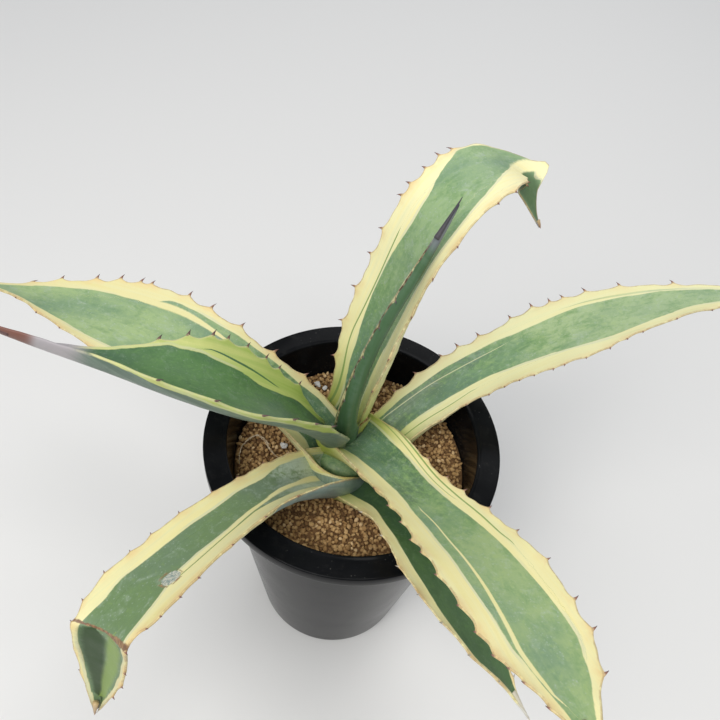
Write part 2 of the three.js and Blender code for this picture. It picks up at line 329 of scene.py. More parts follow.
def place(piece: bpy.types.Object, slot: str, *nodes: str) -> bpy.types.Object:
    """Lets a piece ride on the body and stand for its nodes.

    Args:
        piece: The finished object.
        slot: The material slot; it is not used.
        nodes: The CAD nodes that it stands for.

    Returns:
        The piece.
    """
    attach(piece, BODY)
    if nodes:
        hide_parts(*nodes)
    LOG.info("%s: %d faces", piece.name, len(piece.data.polygons))
    return piece


# -------- materials


class Shading:
    """A node material as it is wired up."""

    def __init__(self, name: str) -> None:
        """Starts a material with one surface shader.

        Args:
            name: The material's name.
        """
        self.material = bpy.data.materials.new(name)
        self.material.use_nodes = True
        self.tree = self.material.node_tree
        self.tree.nodes.clear()
        self.surface = self.tree.nodes.new("ShaderNodeBsdfPrincipled")
        out = self.tree.nodes.new("ShaderNodeOutputMaterial")
        self.tree.links.new(self.surface.outputs[0], out.inputs["Surface"])

    def put(self, target: Socket, value: object) -> None:
        """Links a socket, or sets a plain value on it.

        Args:
            target: The input socket.
            value: An output socket, a number or a colour.
        """
        if isinstance(value, bpy.types.NodeSocket):
            self.tree.links.new(value, target)
        elif isinstance(value, tuple) and len(value) == 3 and target.type == "RGBA":
            target.default_value = (*value, 1.0)
        else:
            target.default_value = value

    def set(self, **sockets: object) -> None:
        """Sets the shader's own sockets, with _ for a space in a name."""
        for name, value in sockets.items():
            self.put(self.surface.inputs[name.replace("_", " ")], value)

    def node(self, kind: str, **inputs: object) -> bpy.types.Node:
        """Adds a node and sets its inputs, with _ for a space in a name.

        Args:
            kind: The node's type.
            inputs: Sockets, numbers or colours, by input name.

        Returns:
            The node.
        """
        node = self.tree.nodes.new(kind)
        for name, value in inputs.items():
            self.put(node.inputs[name.replace("_", " ")], value)
        return node

    def mark(self, name: str) -> Socket:
        """Reads a number that the mesh holds at each point.

        Args:
            name: The mark's name.

        Returns:
            The number.
        """
        node = self.node("ShaderNodeAttribute")
        node.attribute_name = name
        return node.outputs["Fac"]

    def spot(self) -> Socket:
        """The point's place on the object, in metres."""
        return self.node("ShaderNodeTexCoord").outputs["Object"]

    def height(self) -> Socket:
        """The point's height on the object, in metres."""
        return self.node("ShaderNodeSeparateXYZ", Vector=self.spot()).outputs["Z"]

    def sum(self, kind: str, a: object, b: object = 0.0, clamp: bool = False) -> Socket:
        """One step of arithmetic.

        Args:
            kind: The operation, such as ADD.
            a: The first socket or number.
            b: The second socket or number.
            clamp: Whether the result is kept from 0 to 1.

        Returns:
            The result.
        """
        node = self.node("ShaderNodeMath")
        node.operation, node.use_clamp = kind, clamp
        self.put(node.inputs[0], a)
        self.put(node.inputs[1], b)
        return node.outputs[0]

    def add(self, first: object, *rest: object, clamp: bool = False) -> Socket:
        """Adds two or more numbers.

        Args:
            first: The first socket or number.
            rest: The others.
            clamp: Whether the total is kept from 0 to 1.

        Returns:
            The total.
        """
        for number, part in enumerate(rest, 1):
            first = self.sum("ADD", first, part, clamp and number == len(rest))
        return first

    def times(self, a: object, b: object) -> Socket:
        """One number times another."""
        return self.sum("MULTIPLY", a, b)

    def swing(self, noise: Socket, height: float) -> Socket:
        """Noise turned into a swing of the given height about zero."""
        return self.times(self.sum("SUBTRACT", noise, 0.5), height)

    def step(self, value: object, low: float, high: float, start: float = 0.0, stop: float = 1.0) -> Socket:
        """Goes smoothly from one number to another.

        Args:
            value: The number that drives it.
            low: Where it starts.
            high: Where it stops.
            start: The result up to low.
            stop: The result from high on.

        Returns:
            The result.
        """
        span = {"From_Min": low, "From_Max": high, "To_Min": start, "To_Max": stop}
        node = self.node("ShaderNodeMapRange", Value=value, **span)
        node.interpolation_type = "SMOOTHSTEP"
        return node.outputs[0]

    def point(self, x: object, y: object, z: object = 0.0) -> Socket:
        """A vector from three numbers."""
        return self.node("ShaderNodeCombineXYZ", X=x, Y=y, Z=z).outputs[0]

    def noise(
        self, where: object, scale: float, detail: float = 2.0, rough: float = 0.5, twist: float = 0.0
    ) -> Socket:
        """Cloudy noise from 0 to 1, by clouds per unit, finer layers, their strength and a stir."""
        grain = {"Scale": scale, "Detail": detail, "Roughness": rough, "Distortion": twist}
        return self.node("ShaderNodeTexNoise", Vector=where, **grain).outputs[0]

    def cells(self, where: object, scale: float) -> Socket:
        """The distance to the nearest of scattered points."""
        return self.node("ShaderNodeTexVoronoi", Vector=where, Scale=scale).outputs["Distance"]

    def mix(self, share: object, a: object, b: object) -> Socket:
        """Mixes two colours.

        Args:
            share: How much of the second colour.
            a: The first colour.
            b: The second colour.

        Returns:
            The mixed colour.
        """
        node = self.node("ShaderNodeMix")
        node.data_type = "RGBA"
        for socket, value in zip((node.inputs[0], node.inputs[6], node.inputs[7]), (share, a, b)):
            self.put(socket, value)
        return node.outputs[2]

    def bump(self, height: object, strength: float, depth: float, below: Optional[Socket] = None) -> Socket:
        """Fine relief from a height.

        Args:
            height: The height, from 0 to 1.
            strength: How strongly it shows.
            depth: The relief's depth, in metres.
            below: Relief that it lies on.

        Returns:
            The normal.
        """
        node = self.node("ShaderNodeBump", Height=height, Strength=strength, Distance=depth)
        if below is not None:
            self.put(node.inputs["Normal"], below)
        return node.outputs[0]


def dress(piece: bpy.types.Object, material: bpy.types.Material) -> None:
    """Gives a piece one material."""
    piece.data.materials.clear()
    piece.data.materials.append(material)


@dataclass(frozen=True)
class GrainFinish:
    """A rough skin of two colours, mixed by a fine grain that also gives its relief."""

    name: str
    dark: Colour
    light: Colour
    scale: float
    detail: float
    coarse: float
    blend: tuple[float, float]
    roughness: float
    relief: float
    depth_m: float

    def material(self) -> bpy.types.Material:
        """Wires the skin.

        Returns:
            The material.
        """
        s = Shading(self.name)
        grain = s.noise(s.spot(), self.scale, self.detail, self.coarse)
        s.set(Base_Color=s.mix(s.step(grain, *self.blend), self.dark, self.light), Roughness=self.roughness)
        s.set(Normal=s.bump(grain, self.relief, self.depth_m))
        return s.material


# -------- leaf looks


class Margin(Enum):
    """The margins, seen from above and looking to the tip."""

    LEFT = -1
    RIGHT = 1


class Tint(Enum):
    """What a stripe is coloured with."""

    CREAM = "cream"
    GREEN = "green"
    # painted shade: the leaf's dark shade colour, laid on the hanging flaps at the leaf ends where they lie
    # in shadow
    DEEP = "deep green"
    OLIVE = "olive"
    # painted light: the leaf's fresh green, laid on the lit half of a folded flap
    FRESH = "fresh green"
    WHITE = "white"


class Layer(Enum):
    """Noise on the unrolled blade: scale across and along, shift, detail, roughness and twist."""

    PATCHES = (0.13, 0.075, 0, 4, 0.62, 0.5)
    DRIFT = (0.06, 0.03, 5, 2, 0.5, 0.3)
    VEINS = (1.3, 0.02, 7, 2, 0.5, 0.0)
    STREAKS = (0.45, 0.012, 3, 3, 0.6, 0.0)
    FINE = (0.9, 0.9, 1, 4, 0.72, 0.0)
    MOTTLE = (0.5, 0.34, 19, 3, 0.65, 0.6)
    FILM = (0.22, 0.16, 9, 5, 0.68, 1.0)
    HALO = (0.05, 0.02, 17, 2, 0.5, 0.0)
    WEAVE = (2.2, 0.8, 23, 2, 0.6, 1.2)


SPECKS_AT = (0.8, 0.62, 13)
WAVER_SCALE = 0.06
SKIN_SHIFT = 1.7


@dataclass(frozen=True)
class Stripe:
    """A narrow stripe along a leaf: rows of (where, distance from the margin, half-width)."""

    side: Margin
    tint: Tint
    run: tuple[tuple[float, float, float], ...]
    strength: float = 1.0
    soft: float = 0.28
    taper: float = 0.03
    thinnest: float = 0.01
    farthest: float = 60

    def mark(self, reach: np.ndarray, from_margin: np.ndarray) -> np.ndarray:
        """How far each point is from the stripe's middle, in half-widths.

        Args:
            reach: Each point's place along the leaf, from 0 to 1.
            from_margin: Its distance from the stripe's margin.

        Returns:
            The signed distance.
        """
        knots, middles, halves = zip(*self.run)
        centre, half = smooth_curve(knots, middles, reach), smooth_curve(knots, halves, reach)
        half = half * ease(reach, knots[0] - self.taper, knots[0])
        half = half * (1 - ease(reach, knots[-1], knots[-1] + self.taper))
        gap = (from_margin - centre) / np.maximum(half, self.thinnest)
        return np.clip(gap, -self.farthest, self.farthest)


@dataclass(frozen=True)
class LeafFinish:
    """The colours of one leaf's skin."""

    deep: Colour = (0.085, 0.17, 0.080)
    mid: Colour = (0.17, 0.30, 0.115)
    pale: Colour = (0.32, 0.43, 0.19)
    cool: Colour = (0.15, 0.26, 0.165)
    fresh: Colour = (0.33, 0.46, 0.13)
    # The shade colour is painted shade: the stripes lay it on flaps that hang in shadow.
    shade: Colour = (0.045, 0.095, 0.03)
    cream: Colour = (0.84, 0.76, 0.345)
    ivory: Colour = (0.86, 0.81, 0.47)
    blush: Colour = (0.80, 0.58, 0.27)
    lime: Colour = (0.40, 0.47, 0.09)
    under: Colour = (0.15, 0.21, 0.15)
    bloom: Colour = (0.42, 0.50, 0.42)
    horn: Colour = (0.30, 0.28, 0.31)
    horn_end: Colour = (0.13, 0.055, 0.04)
    rim: Colour = (0.40, 0.25, 0.12)
    scorch: Colour = (0.17, 0.085, 0.045)
    scar: Colour = (0.62, 0.60, 0.50)
    lime_until: float = 0.3
    pale_from: float = 0.1
    pale_until: float = 0.6
    bloom_share: float = 0.35
    rim_share: float = 0.6
    roughness: float = 0.42
    specular: float = 0.4

    def material(self, name: str, seed: float, stripes: Sequence[Stripe]) -> bpy.types.Material:
        """Wires the whole skin of one leaf.

        Args:
            name: The material's name.
            seed: Shifts the noise, so that no two leaves match.
            stripes: The leaf's stripes, in the order of its marks.

        Returns:
            The material.
        """
        skin = LeafSkin(self, name, seed)
        blade, cream = skin.green(), skin.cream()
        colour = skin.striped(skin.margins(blade, cream), blade, cream, stripes)
        return skin.finished(skin.horned(skin.worn(colour)))


class LeafSkin:
    """The skin of one leaf as it is wired up: green blade, cream margins, stripes and worn places."""

    def __init__(self, finish: LeafFinish, name: str, seed: float) -> None:
        """Starts the skin with its places and its layers of noise.

        Args:
            finish: The leaf's colours.
            name: The material's name.
            seed: Shifts the noise.
        """
        self.finish, self.seed, self.s = finish, seed, Shading(name)
        self.along, self.across, self.reach = (self.s.mark(mark) for mark in ("along", "across", "reach"))
        self.patches, self.drift = self.layer(Layer.PATCHES), self.layer(Layer.DRIFT)
        self.veins, self.streaks = self.layer(Layer.VEINS), self.layer(Layer.STREAKS)
        self.fine, self.mottle = self.layer(Layer.FINE), self.layer(Layer.MOTTLE)
        self.film = self.layer(Layer.FILM)

    def cloth(self, wide: float, long: float, shift: float) -> Socket:
        """The place on the unrolled blade, scaled across and along."""
        s = self.s
        return s.point(s.times(self.across, wide), s.times(self.along, long), self.seed + shift)

    def layer(self, kind: Layer) -> Socket:
        """One layer of noise over the blade."""
        wide, long, shift, *grain = kind.value
        return self.s.noise(self.cloth(wide, long, shift), 1.0, *grain)

    def green(self) -> Socket:
        """The green of the blade, with the blue-grey of its under side.

        Returns:
            The colour.
        """
        s, f = self.s, self.finish
        tone = s.step(self.reach, f.pale_from, f.pale_until, 0.0, 0.8)
        swings = (s.swing(self.patches, 1.3), s.swing(self.streaks, 0.45), s.swing(self.mottle, 0.9))
        tone = s.add(tone, *swings, clamp=True)
        blade = s.mix(s.step(tone, 0.0, 0.5), f.deep, f.mid)
        blade = s.mix(s.step(tone, 0.35, 1.0), blade, f.pale)
        cool = s.step(s.add(self.drift, s.swing(self.fine, 0.15)), 0.36, 0.74, 0.0, 0.7)
        blade = s.mix(cool, blade, f.cool)
        blade = s.mix(s.step(self.veins, 0.45, 0.7, 0.0, 0.14), blade, f.pale)
        blade = s.mix(s.step(self.mottle, 0.5, 0.8, 0.0, 0.35), blade, f.fresh)
        blade = s.mix(s.step(self.film, 0.5, 0.74, 0.0, f.bloom_share), blade, f.bloom)
        specks = s.step(s.cells(self.cloth(*SPECKS_AT), 1.0), 0.13, 0.3, f.bloom_share, 0.0)
        blade = s.mix(s.times(specks, s.step(self.film, 0.35, 0.6)), blade, f.bloom)
        below = s.mix(s.step(self.streaks, 0.3, 0.7), f.under, f.bloom)
        below = s.mix(s.step(self.film, 0.4, 0.7, 0.55, 0.95), below, f.under)
        return s.mix(s.mark("under"), blade, below)

    def cream(self) -> Socket:
        """The cream of the margins, blushed round the teeth and lime near the base.

        Returns:
            The colour.
        """
        s, f = self.s, self.finish
        cream = s.mix(s.step(self.streaks, 0.3, 0.75), f.cream, f.ivory)
        cream = s.mix(s.step(self.fine, 0.45, 0.8, 0.0, 0.3), cream, f.ivory)
        cream = s.mix(s.times(s.mark("blush"), s.step(self.patches, 0.3, 0.6)), cream, f.blush)
        young = s.step(self.reach, 0.02, f.lime_until, 1.0, 0.0)
        young = s.add(young, s.swing(self.streaks, 0.8), clamp=True)
        return s.mix(young, cream, f.lime)

    def margins(self, blade: Socket, cream: Socket) -> Socket:
        """The blade between its cream bands, with a pale halo beside them.

        Args:
            blade: The blade's colour.
            cream: The bands' colour.

        Returns:
            The colour.
        """
        s, f = self.s, self.finish
        waver = s.noise(s.point(s.times(self.along, WAVER_SCALE), 0.0, self.seed), 1.0, 3, 0.6)
        edge = s.sum("MINIMUM", s.mark("band_left"), s.mark("band_right"))
        edge = s.add(edge, s.swing(waver, 1.2), s.swing(self.streaks, 1.1))
        edge = s.add(edge, s.swing(self.veins, 0.7), s.swing(self.fine, 0.35))
        skin = s.mix(s.step(edge, -0.25, 0.25, 1.0, 0.0), blade, cream)
        halo = s.times(s.step(edge, -1.5, -1.0), s.step(edge, -0.35, 0.1, 1.0, 0.0))
        halo = s.times(halo, s.step(self.layer(Layer.HALO), 0.45, 0.55, 0.0, 0.55))
        return s.mix(halo, skin, s.mix(0.45, f.bloom, f.ivory))

    def striped(self, skin: Socket, blade: Socket, cream: Socket, stripes: Sequence[Stripe]) -> Socket:
        """Lays the stripes over the skin.

        Args:
            skin: The colour below.
            blade: The blade's colour.
            cream: The bands' colour.
            stripes: The stripes, in the order of their marks.

        Returns:
            The colour.
        """
        s, f = self.s, self.finish
        tints = {Tint.CREAM: cream, Tint.GREEN: blade, Tint.WHITE: f.ivory}
        # The fresh-green tint, as the stripes use it, is painted light on a flap's lit half.
        # The shade tint is painted shade.
        tints |= {Tint.FRESH: f.fresh, Tint.DEEP: f.shade, Tint.OLIVE: s.mix(0.35, f.mid, f.lime)}
        for number, stripe in enumerate(stripes):
            gap = s.add(s.sum("ABSOLUTE", s.mark(f"stripe_{number}")), s.swing(self.fine, 0.5))
            share = s.step(gap, 1.0 - stripe.soft, 1.0 + stripe.soft, stripe.strength, 0.0)
            skin = s.mix(share, skin, tints[stripe.tint])
        return skin

    def worn(self, skin: Socket) -> Socket:
        """Adds the brown rim, the healed scar and the dry places.

        Args:
            skin: The colour below.

        Returns:
            The colour.
        """
        s, f = self.s, self.finish
        rim = s.step(s.add(s.mark("margin"), s.swing(self.fine, 0.5)), 0.05, 0.5, f.rim_share, 0.0)
        skin = s.mix(s.times(rim, s.step(self.mottle, 0.3, 0.6, 0.15, 1.0)), skin, f.rim)
        healed = s.mix(s.step(self.layer(Layer.WEAVE), 0.42, 0.6), f.scar, f.under)
        skin = s.mix(s.step(s.add(s.mark("scar"), s.swing(self.film, 0.9)), 0.4, 0.55), skin, healed)
        dry = s.add(s.mark("dry"), s.swing(self.fine, 0.8), s.swing(self.film, 0.7))
        return s.mix(s.step(dry, 0.3, 0.6), skin, s.mix(s.step(self.fine, 0.35, 0.7), f.scorch, f.rim))

    def horned(self, skin: Socket) -> Socket:
        """Turns the leaf's end to horn.

        Args:
            skin: The colour below.

        Returns:
            The colour.
        """
        s, f = self.s, self.finish
        horn = s.add(s.mark("horn"), s.swing(self.streaks, 0.3))
        skin = s.mix(s.step(horn, 0.25, 0.75), skin, f.horn)
        return s.mix(s.step(s.mark("horn"), 0.9, 1.25), skin, f.horn_end)

    def finished(self, skin: Socket) -> bpy.types.Material:
        """Sets the surface: colour, sheen and fine relief.

        Args:
            skin: The final colour.

        Returns:
            The material.
        """
        s, rough = self.s, self.finish.roughness
        s.set(Base_Color=skin, Roughness=s.step(self.patches, 0.2, 0.8, rough - 0.07, rough + 0.12))
        s.set(Specular_IOR_Level=self.finish.specular)
        s.set(Normal=s.bump(self.fine, 0.3, 0.00022, s.bump(self.veins, 0.25, 0.0002)))
        return s.material


@dataclass(frozen=True)
class HornFinish:
    """The horn of the teeth and spines."""

    root: Colour = (0.58, 0.42, 0.22)
    middle: Colour = (0.25, 0.11, 0.075)
    end: Colour = (0.065, 0.035, 0.035)
    roughness: float = 0.45

    def material(self, name: str) -> bpy.types.Material:
        """Wires horn that darkens from its root to its point.

        Args:
            name: The material's name.

        Returns:
            The material.
        """
        s = Shading(name)
        grain = s.noise(s.spot(), 900.0, 3, 0.6)
        length = s.add(s.mark("point"), s.swing(grain, 0.35))
        skin = s.mix(s.step(length, 0.05, 0.5), self.root, self.middle)
        s.set(Base_Color=s.mix(s.step(length, 0.5, 0.95), skin, self.end), Roughness=self.roughness)
        s.set(Normal=s.bump(grain, 0.2, 0.0001))
        return s.material


# -------- leaves

FLAT: Table = ((0.0, 0.0), (1.0, 0.0))


@dataclass(frozen=True)
class MarginPlan:
    """One margin of a leaf: its cream band, how far it is trimmed out, and where its teeth are."""

    band: Table
    trim: Table = FLAT
    teeth: Sequence[float] = ()
    tooth: float = 2.4
    hump: float = 1.1


@dataclass(frozen=True)
class Fold:
    """A crease near a leaf's end: where, how long, the new heading and pitch, and how it is worn."""

    at: float
    run: float
    heading: float
    pitch: float
    dry: float = 0.0
    skew: float = 0.0
    keel: float = 0.0
    dry_core: float = 0.2
    dry_reach: float = 1.7

    def share(self, reach: np.ndarray, u: float = 0.0) -> np.ndarray:
        """How far the leaf is folded over at each station."""
        return ease(reach, self.at + self.skew * u, self.at + self.skew * u + self.run)

    def dryness(self, reach: np.ndarray, u: np.ndarray, length: float) -> np.ndarray:
        """How dry each point is beside the crease, by its station and its place across the blade."""
        gap = np.abs(reach - self.at - self.run / 2 - self.skew * u) * length
        return self.dry * (1 - ease(gap, self.dry_core, self.dry_reach))


@dataclass(frozen=True)
class Scar:
    """A healed round scar: its place along, its distance from the left margin, and its radius."""

    at: float
    inward: float
    radius: float
    squash: float = 0.8
    ring_dry: float = 0.6
    ring_width: float = 0.7
    core: float = 0.55
    fade: float = 1.25

    def marks(
        self, reach: np.ndarray, from_left: np.ndarray, length: float
    ) -> tuple[np.ndarray, np.ndarray]:
        """The scar's dry ring and its healed middle.

        Args:
            reach: The stations.
            from_left: Each point's distance from the left margin.
            length: The leaf's length.

        Returns:
            How dry and how healed each point is.
        """
        gap = np.hypot((reach - self.at) * length * self.squash, from_left - self.inward)
        ring = self.ring_dry * bell(gap - self.radius, self.ring_width)
        return ring, 1 - ease(gap, self.core * self.radius, self.fade * self.radius)


@dataclass(frozen=True)
class ToothForm:
    """A hooked marginal tooth, the low hump that it stands on, and the blush round it."""

    hump_rise: float = 1.15
    hump_width: float = 1.7
    hump_power: float = 1.3
    dip: float = 0.3
    dip_at: float = 5.5
    dip_width: float = 2.6
    blush: float = 0.85
    blush_along: float = 4.5
    blush_inward: float = 2.6
    lean: float = -0.45
    lean_spread: float = 0.5
    rise_spread: float = 0.3
    centre_draw: float = 0.3
    inset: float = 1.2
    stretch: float = 1.25
    sunk: float = 0.25
    widest: float = 0.95
    width_share: float = 0.45
    taper: float = 1.2
    depth: float = 0.42
    point: float = 0.07
    young: float = 0.65
    grows: Sequence[float] = (0.1, 0.35)
    least: float = 0.85
    vary: float = 0.3
    rings: int = 7
    around: int = 8

    def scale(self, at: float, number: int, seed: int) -> float:
        """How large a tooth is beside its plan: smaller near the base, and each a little different."""
        grown = self.young + (1 - self.young) * float(ease(np.array(at), *self.grows))
        return grown * (self.least + self.vary * ((number * 37 + seed * 11) % 10) / 10)

    def hump(self, gap: np.ndarray) -> np.ndarray:
        """How far the margin stands out at a distance from its tooth."""
        dip = self.dip * bell(gap - self.dip_at, self.dip_width)
        return self.hump_rise * bell(gap, self.hump_width, self.hump_power) - dip

    def flush(self, gap: np.ndarray, inward: np.ndarray) -> np.ndarray:
        """How blushed the cream is near a tooth."""
        return self.blush * bell(gap, self.blush_along) * bell(inward, self.blush_inward)


@dataclass(frozen=True)
class SpineForm:
    """The slim terminal spine over a leaf's point."""

    radius: float = 1.25
    taper: float = 0.8
    point: float = 0.1
    blade_share: float = 0.6
    least: float = 0.25
    past_tip: float = 0.2
    sunk: float = 0.2
    rings: int = 16
    around: int = 10


@dataclass
class LeafShape:
    """Where a leaf's frames lie at each station."""

    spine: np.ndarray
    along: np.ndarray
    side: np.ndarray
    up: np.ndarray


@dataclass
class AgaveLeaf:
    """One leaf: a curved, toothed strap with cream margins."""

    node: str
    base: Sequence[float]
    length: float
    heading: Sequence[float]
    pitch: Sequence[float]
    twist: Sequence[float]
    width: Sequence[float]
    bend: Sequence[float]
    left: MarginPlan
    right: MarginPlan
    seed: int
    fold: Optional[Fold] = None
    scar: Optional[Scar] = None
    thick: float = 1.0
    stripes: Sequence[Stripe] = ()
    finish: LeafFinish = LeafFinish()
    horn_finish: HornFinish = HornFinish()
    horn: Table = ((0.0, 0.0), (0.95, 0.0), (0.985, 0.6), (1.0, 1.3))
    spine_length: float = 11
    spine_tone: Sequence[float] = (0.72, 1.0)
    ripple: float = 0.5
    roll: float = 0.0
    wrap: float = 0.0
    push: Sequence[float] = (0.0, 0.0, 0.0)
    push_until: float = 0.3
    under_shift: float = 0.0
    shift_fades: Sequence[float] = (0.3, 0.42)
    slot: str = "leaf"
    across: int = 27
    pitch_mm: float = 1.1

    turn_at: Sequence[float] = (0, 0.25, 0.5, 0.75, 1)
    twist_at: Sequence[float] = (0, 0.5, 1)
    width_at: Sequence[float] = (0, 0.1, 0.3, 0.55, 0.8, 0.93, 1)
    bend_at: Sequence[float] = (0, 0.3, 0.65, 1)
    thick_at: Sequence[float] = (0, 0.2, 0.5, 0.8, 1)
    thickness: Sequence[float] = (8, 6, 4.5, 3, 0.8)
    tip_half_width: float = 0.4
    edge: float = 0.9
    edge_round: float = 0.35
    slim: float = 0.6
    slim_until: float = 8
    deepest: float = 0.8
    core_power: float = 0.8
    gather: float = 0.86
    spine_steps: int = 2001
    wave: float = 0.25
    wave_counts: Sequence[float] = (5, 11, 23)
    wave_from: Sequence[float] = (0.05, 0.15)
    wave_until: Sequence[float] = (0.9, 0.97)
    ripple_counts: Sequence[float] = (3, 7)
    ripple_from: Sequence[float] = (0.1, 0.3)
    ripple_slant: float = 0.03
    seam_gap: float = 0.42
    full_from: float = 3
    tooth_form: ToothForm = ToothForm()
    spine_form: SpineForm = SpineForm()

    def plan(self, side: Margin) -> MarginPlan:
        """The plan of one margin."""
        return self.left if side is Margin.LEFT else self.right

    def shape(self, reach: np.ndarray, u: float = 0.0) -> LeafShape:
        """Runs the spine out from the base.

        Args:
            reach: Rising stations from 0 to 1.
            u: Place across the blade, which shifts a slanting crease.

        Returns:
            The frames at those stations.
        """
        fine = np.linspace(0, 1, self.spine_steps)
        turn = smooth_curve(self.turn_at, self.heading, fine)
        climb = smooth_curve(self.turn_at, self.pitch, fine)
        if self.fold:
            share = self.fold.share(fine, u)
            turn += (self.fold.heading - turn) * share
            climb += (self.fold.pitch - climb) * share
        turn, climb = np.radians(turn), np.radians(climb)
        along = np.stack([np.cos(climb) * np.cos(turn), np.cos(climb) * np.sin(turn), np.sin(climb)], -1)
        middles = (along[1:] + along[:-1]) / 2 * self.length / (len(fine) - 1)
        spine = np.vstack([np.zeros(3), np.cumsum(middles, 0)]) + np.array(self.base, float)
        if self.fold and self.fold.skew and u:
            drift = self.shape(np.array([1.0])).spine[0] - spine[-1]
            spine += drift * ease(fine, self.fold.at + self.fold.run, 1.0)[:, None]
        spine += np.outer(1 - ease(fine, 0, self.push_until), self.push)
        side = np.stack([np.sin(turn), -np.cos(turn), 0 * turn], -1)
        up = np.cross(side, along)
        twist = np.radians(smooth_curve(self.twist_at, self.twist, fine))[:, None]
        side, up = side * np.cos(twist) + up * np.sin(twist), up * np.cos(twist) - side * np.sin(twist)

        def read(rows: np.ndarray) -> np.ndarray:
            """Rows at the stations."""
            return np.stack([np.interp(reach, fine, rows[:, i]) for i in range(3)], -1)

        return LeafShape(read(spine), read(along), read(side), read(up))

    def half_width(self, reach: np.ndarray) -> np.ndarray:
        """Half the blade's width at each station."""
        return smooth_curve(self.width_at, [*self.width, self.tip_half_width], reach)

    def section(self, reach: np.ndarray) -> tuple[np.ndarray, np.ndarray]:
        """The section's arc at each station.

        Args:
            reach: The stations.

        Returns:
            The half angle that the blade takes in, and the arc's radius.
        """
        half_bend = np.radians(smooth_curve(self.bend_at, self.bend, reach)) / 2
        radius = self.half_width(reach) / half_bend
        if self.wrap:
            half_bend = np.full_like(half_bend, math.radians(self.wrap) / 2)
        return half_bend, radius

    def margin_reach(self, reach: np.ndarray, side: Margin) -> np.ndarray:
        """How far a margin stands out from its plain line: trim, humps under the teeth, and a light wave.

        Args:
            reach: The stations.
            side: The margin.

        Returns:
            The distance at each station.
        """
        plan = self.plan(side)
        stand = read_table(plan.trim, reach)
        for at in plan.teeth:
            stand = stand + plan.hump * self.tooth_form.hump(np.abs(reach - at) * self.length)
        body = ease(reach, *self.wave_from) * (1 - ease(reach, *self.wave_until))
        return stand + self.wave * body * wobble(reach, self.seed + side.value, self.wave_counts)

    def lay(self, reach: np.ndarray, u: np.ndarray, depth: np.ndarray) -> np.ndarray:
        """Points on or under the upper face.

        Args:
            reach: Place along the leaf.
            u: Place across it, -1 at the left margin and 1 at the right.
            depth: Distance below the upper face.

        Returns:
            The points.
        """
        middle = float(np.mean(u))
        shape = self.shape(reach, middle)
        half_bend, radius = self.section(reach)
        angle = half_bend * u + math.radians(self.roll)
        seam = self.seam_gap * (1 - u) * np.minimum(1, radius / self.full_from) if self.wrap else 0.0
        ripple_seed = self.seed + (3 if middle > 0 else 4)
        lift = self.ripple * np.abs(u) ** 3 * ease(reach, *self.ripple_from)
        lift = lift * wobble(reach + self.ripple_slant * u, ripple_seed, self.ripple_counts)
        if self.fold and self.fold.keel:
            lift = lift - self.fold.keel * np.maximum(0, 1 - np.abs(u)) * self.fold.share(reach)
        heart = shape.spine + shape.up * radius[:, None]
        out = shape.side * np.sin(angle)[:, None] - shape.up * np.cos(angle)[:, None]
        return heart + out * (radius + seam + depth - lift)[:, None]

    def columns(
        self, reach: np.ndarray, low: np.ndarray, high: np.ndarray
    ) -> list[tuple[np.ndarray, np.ndarray, bool]]:
        """The columns of points that go once round the section.

        Args:
            reach: The stations.
            low: Where the left margin is.
            high: Where the right margin is.

        Returns:
            For each column, its place across, its depth, and whether it is on the under side.
        """
        half = self.half_width(reach)
        thick = smooth_curve(self.thick_at, self.thickness, reach) * self.thick
        bow = math.pi / 2 * self.gather
        even = np.sin(np.linspace(-1, 1, self.across) * bow) / math.sin(bow)
        places = [low + (high - low) * (e + 1) / 2 for e in even]
        thin = self.edge * np.minimum(1.0, self.slim + half / self.slim_until)
        cores = [np.maximum(0, thick - self.edge) * max(0.0, 1 - e * e) ** self.core_power for e in even]
        depths = [np.minimum(thin + core, half * self.deepest) for core in cores]
        past = self.edge_round * np.minimum(1, half / self.full_from) / half
        top = [(u, np.zeros_like(u), False) for u in places]
        below = [(u, depth, True) for u, depth in zip(places[::-1], depths[::-1])]
        return [*top, (high + past, depths[-1] / 2, False), *below, (low - past, depths[0] / 2, False)]

    def blade(self) -> bpy.types.Object:
        """Builds the blade as one closed skin with its marks.

        Returns:
            The object.
        """
        reach = np.linspace(0, 1, int(self.length / self.pitch_mm) + 1)
        half = self.half_width(reach)
        low = -1 - self.margin_reach(reach, Margin.LEFT) / half
        high = 1 + self.margin_reach(reach, Margin.RIGHT) / half
        points: list[np.ndarray] = []
        marks: dict[str, list[np.ndarray]] = {}
        for u, depth, under in self.columns(reach, low, high):
            points.append(self.lay(reach, u, depth))
            for name, values in self.marks(reach, u, under, low, high).items():
                marks.setdefault(name, []).append(values)
        flat = {name: np.stack(rows, 1).reshape(-1) for name, rows in marks.items()}
        faces = tube_faces(len(reach), len(points))
        return one_part(f"{self.node}_blade", np.stack(points, 1).reshape(-1, 3), faces, **flat)

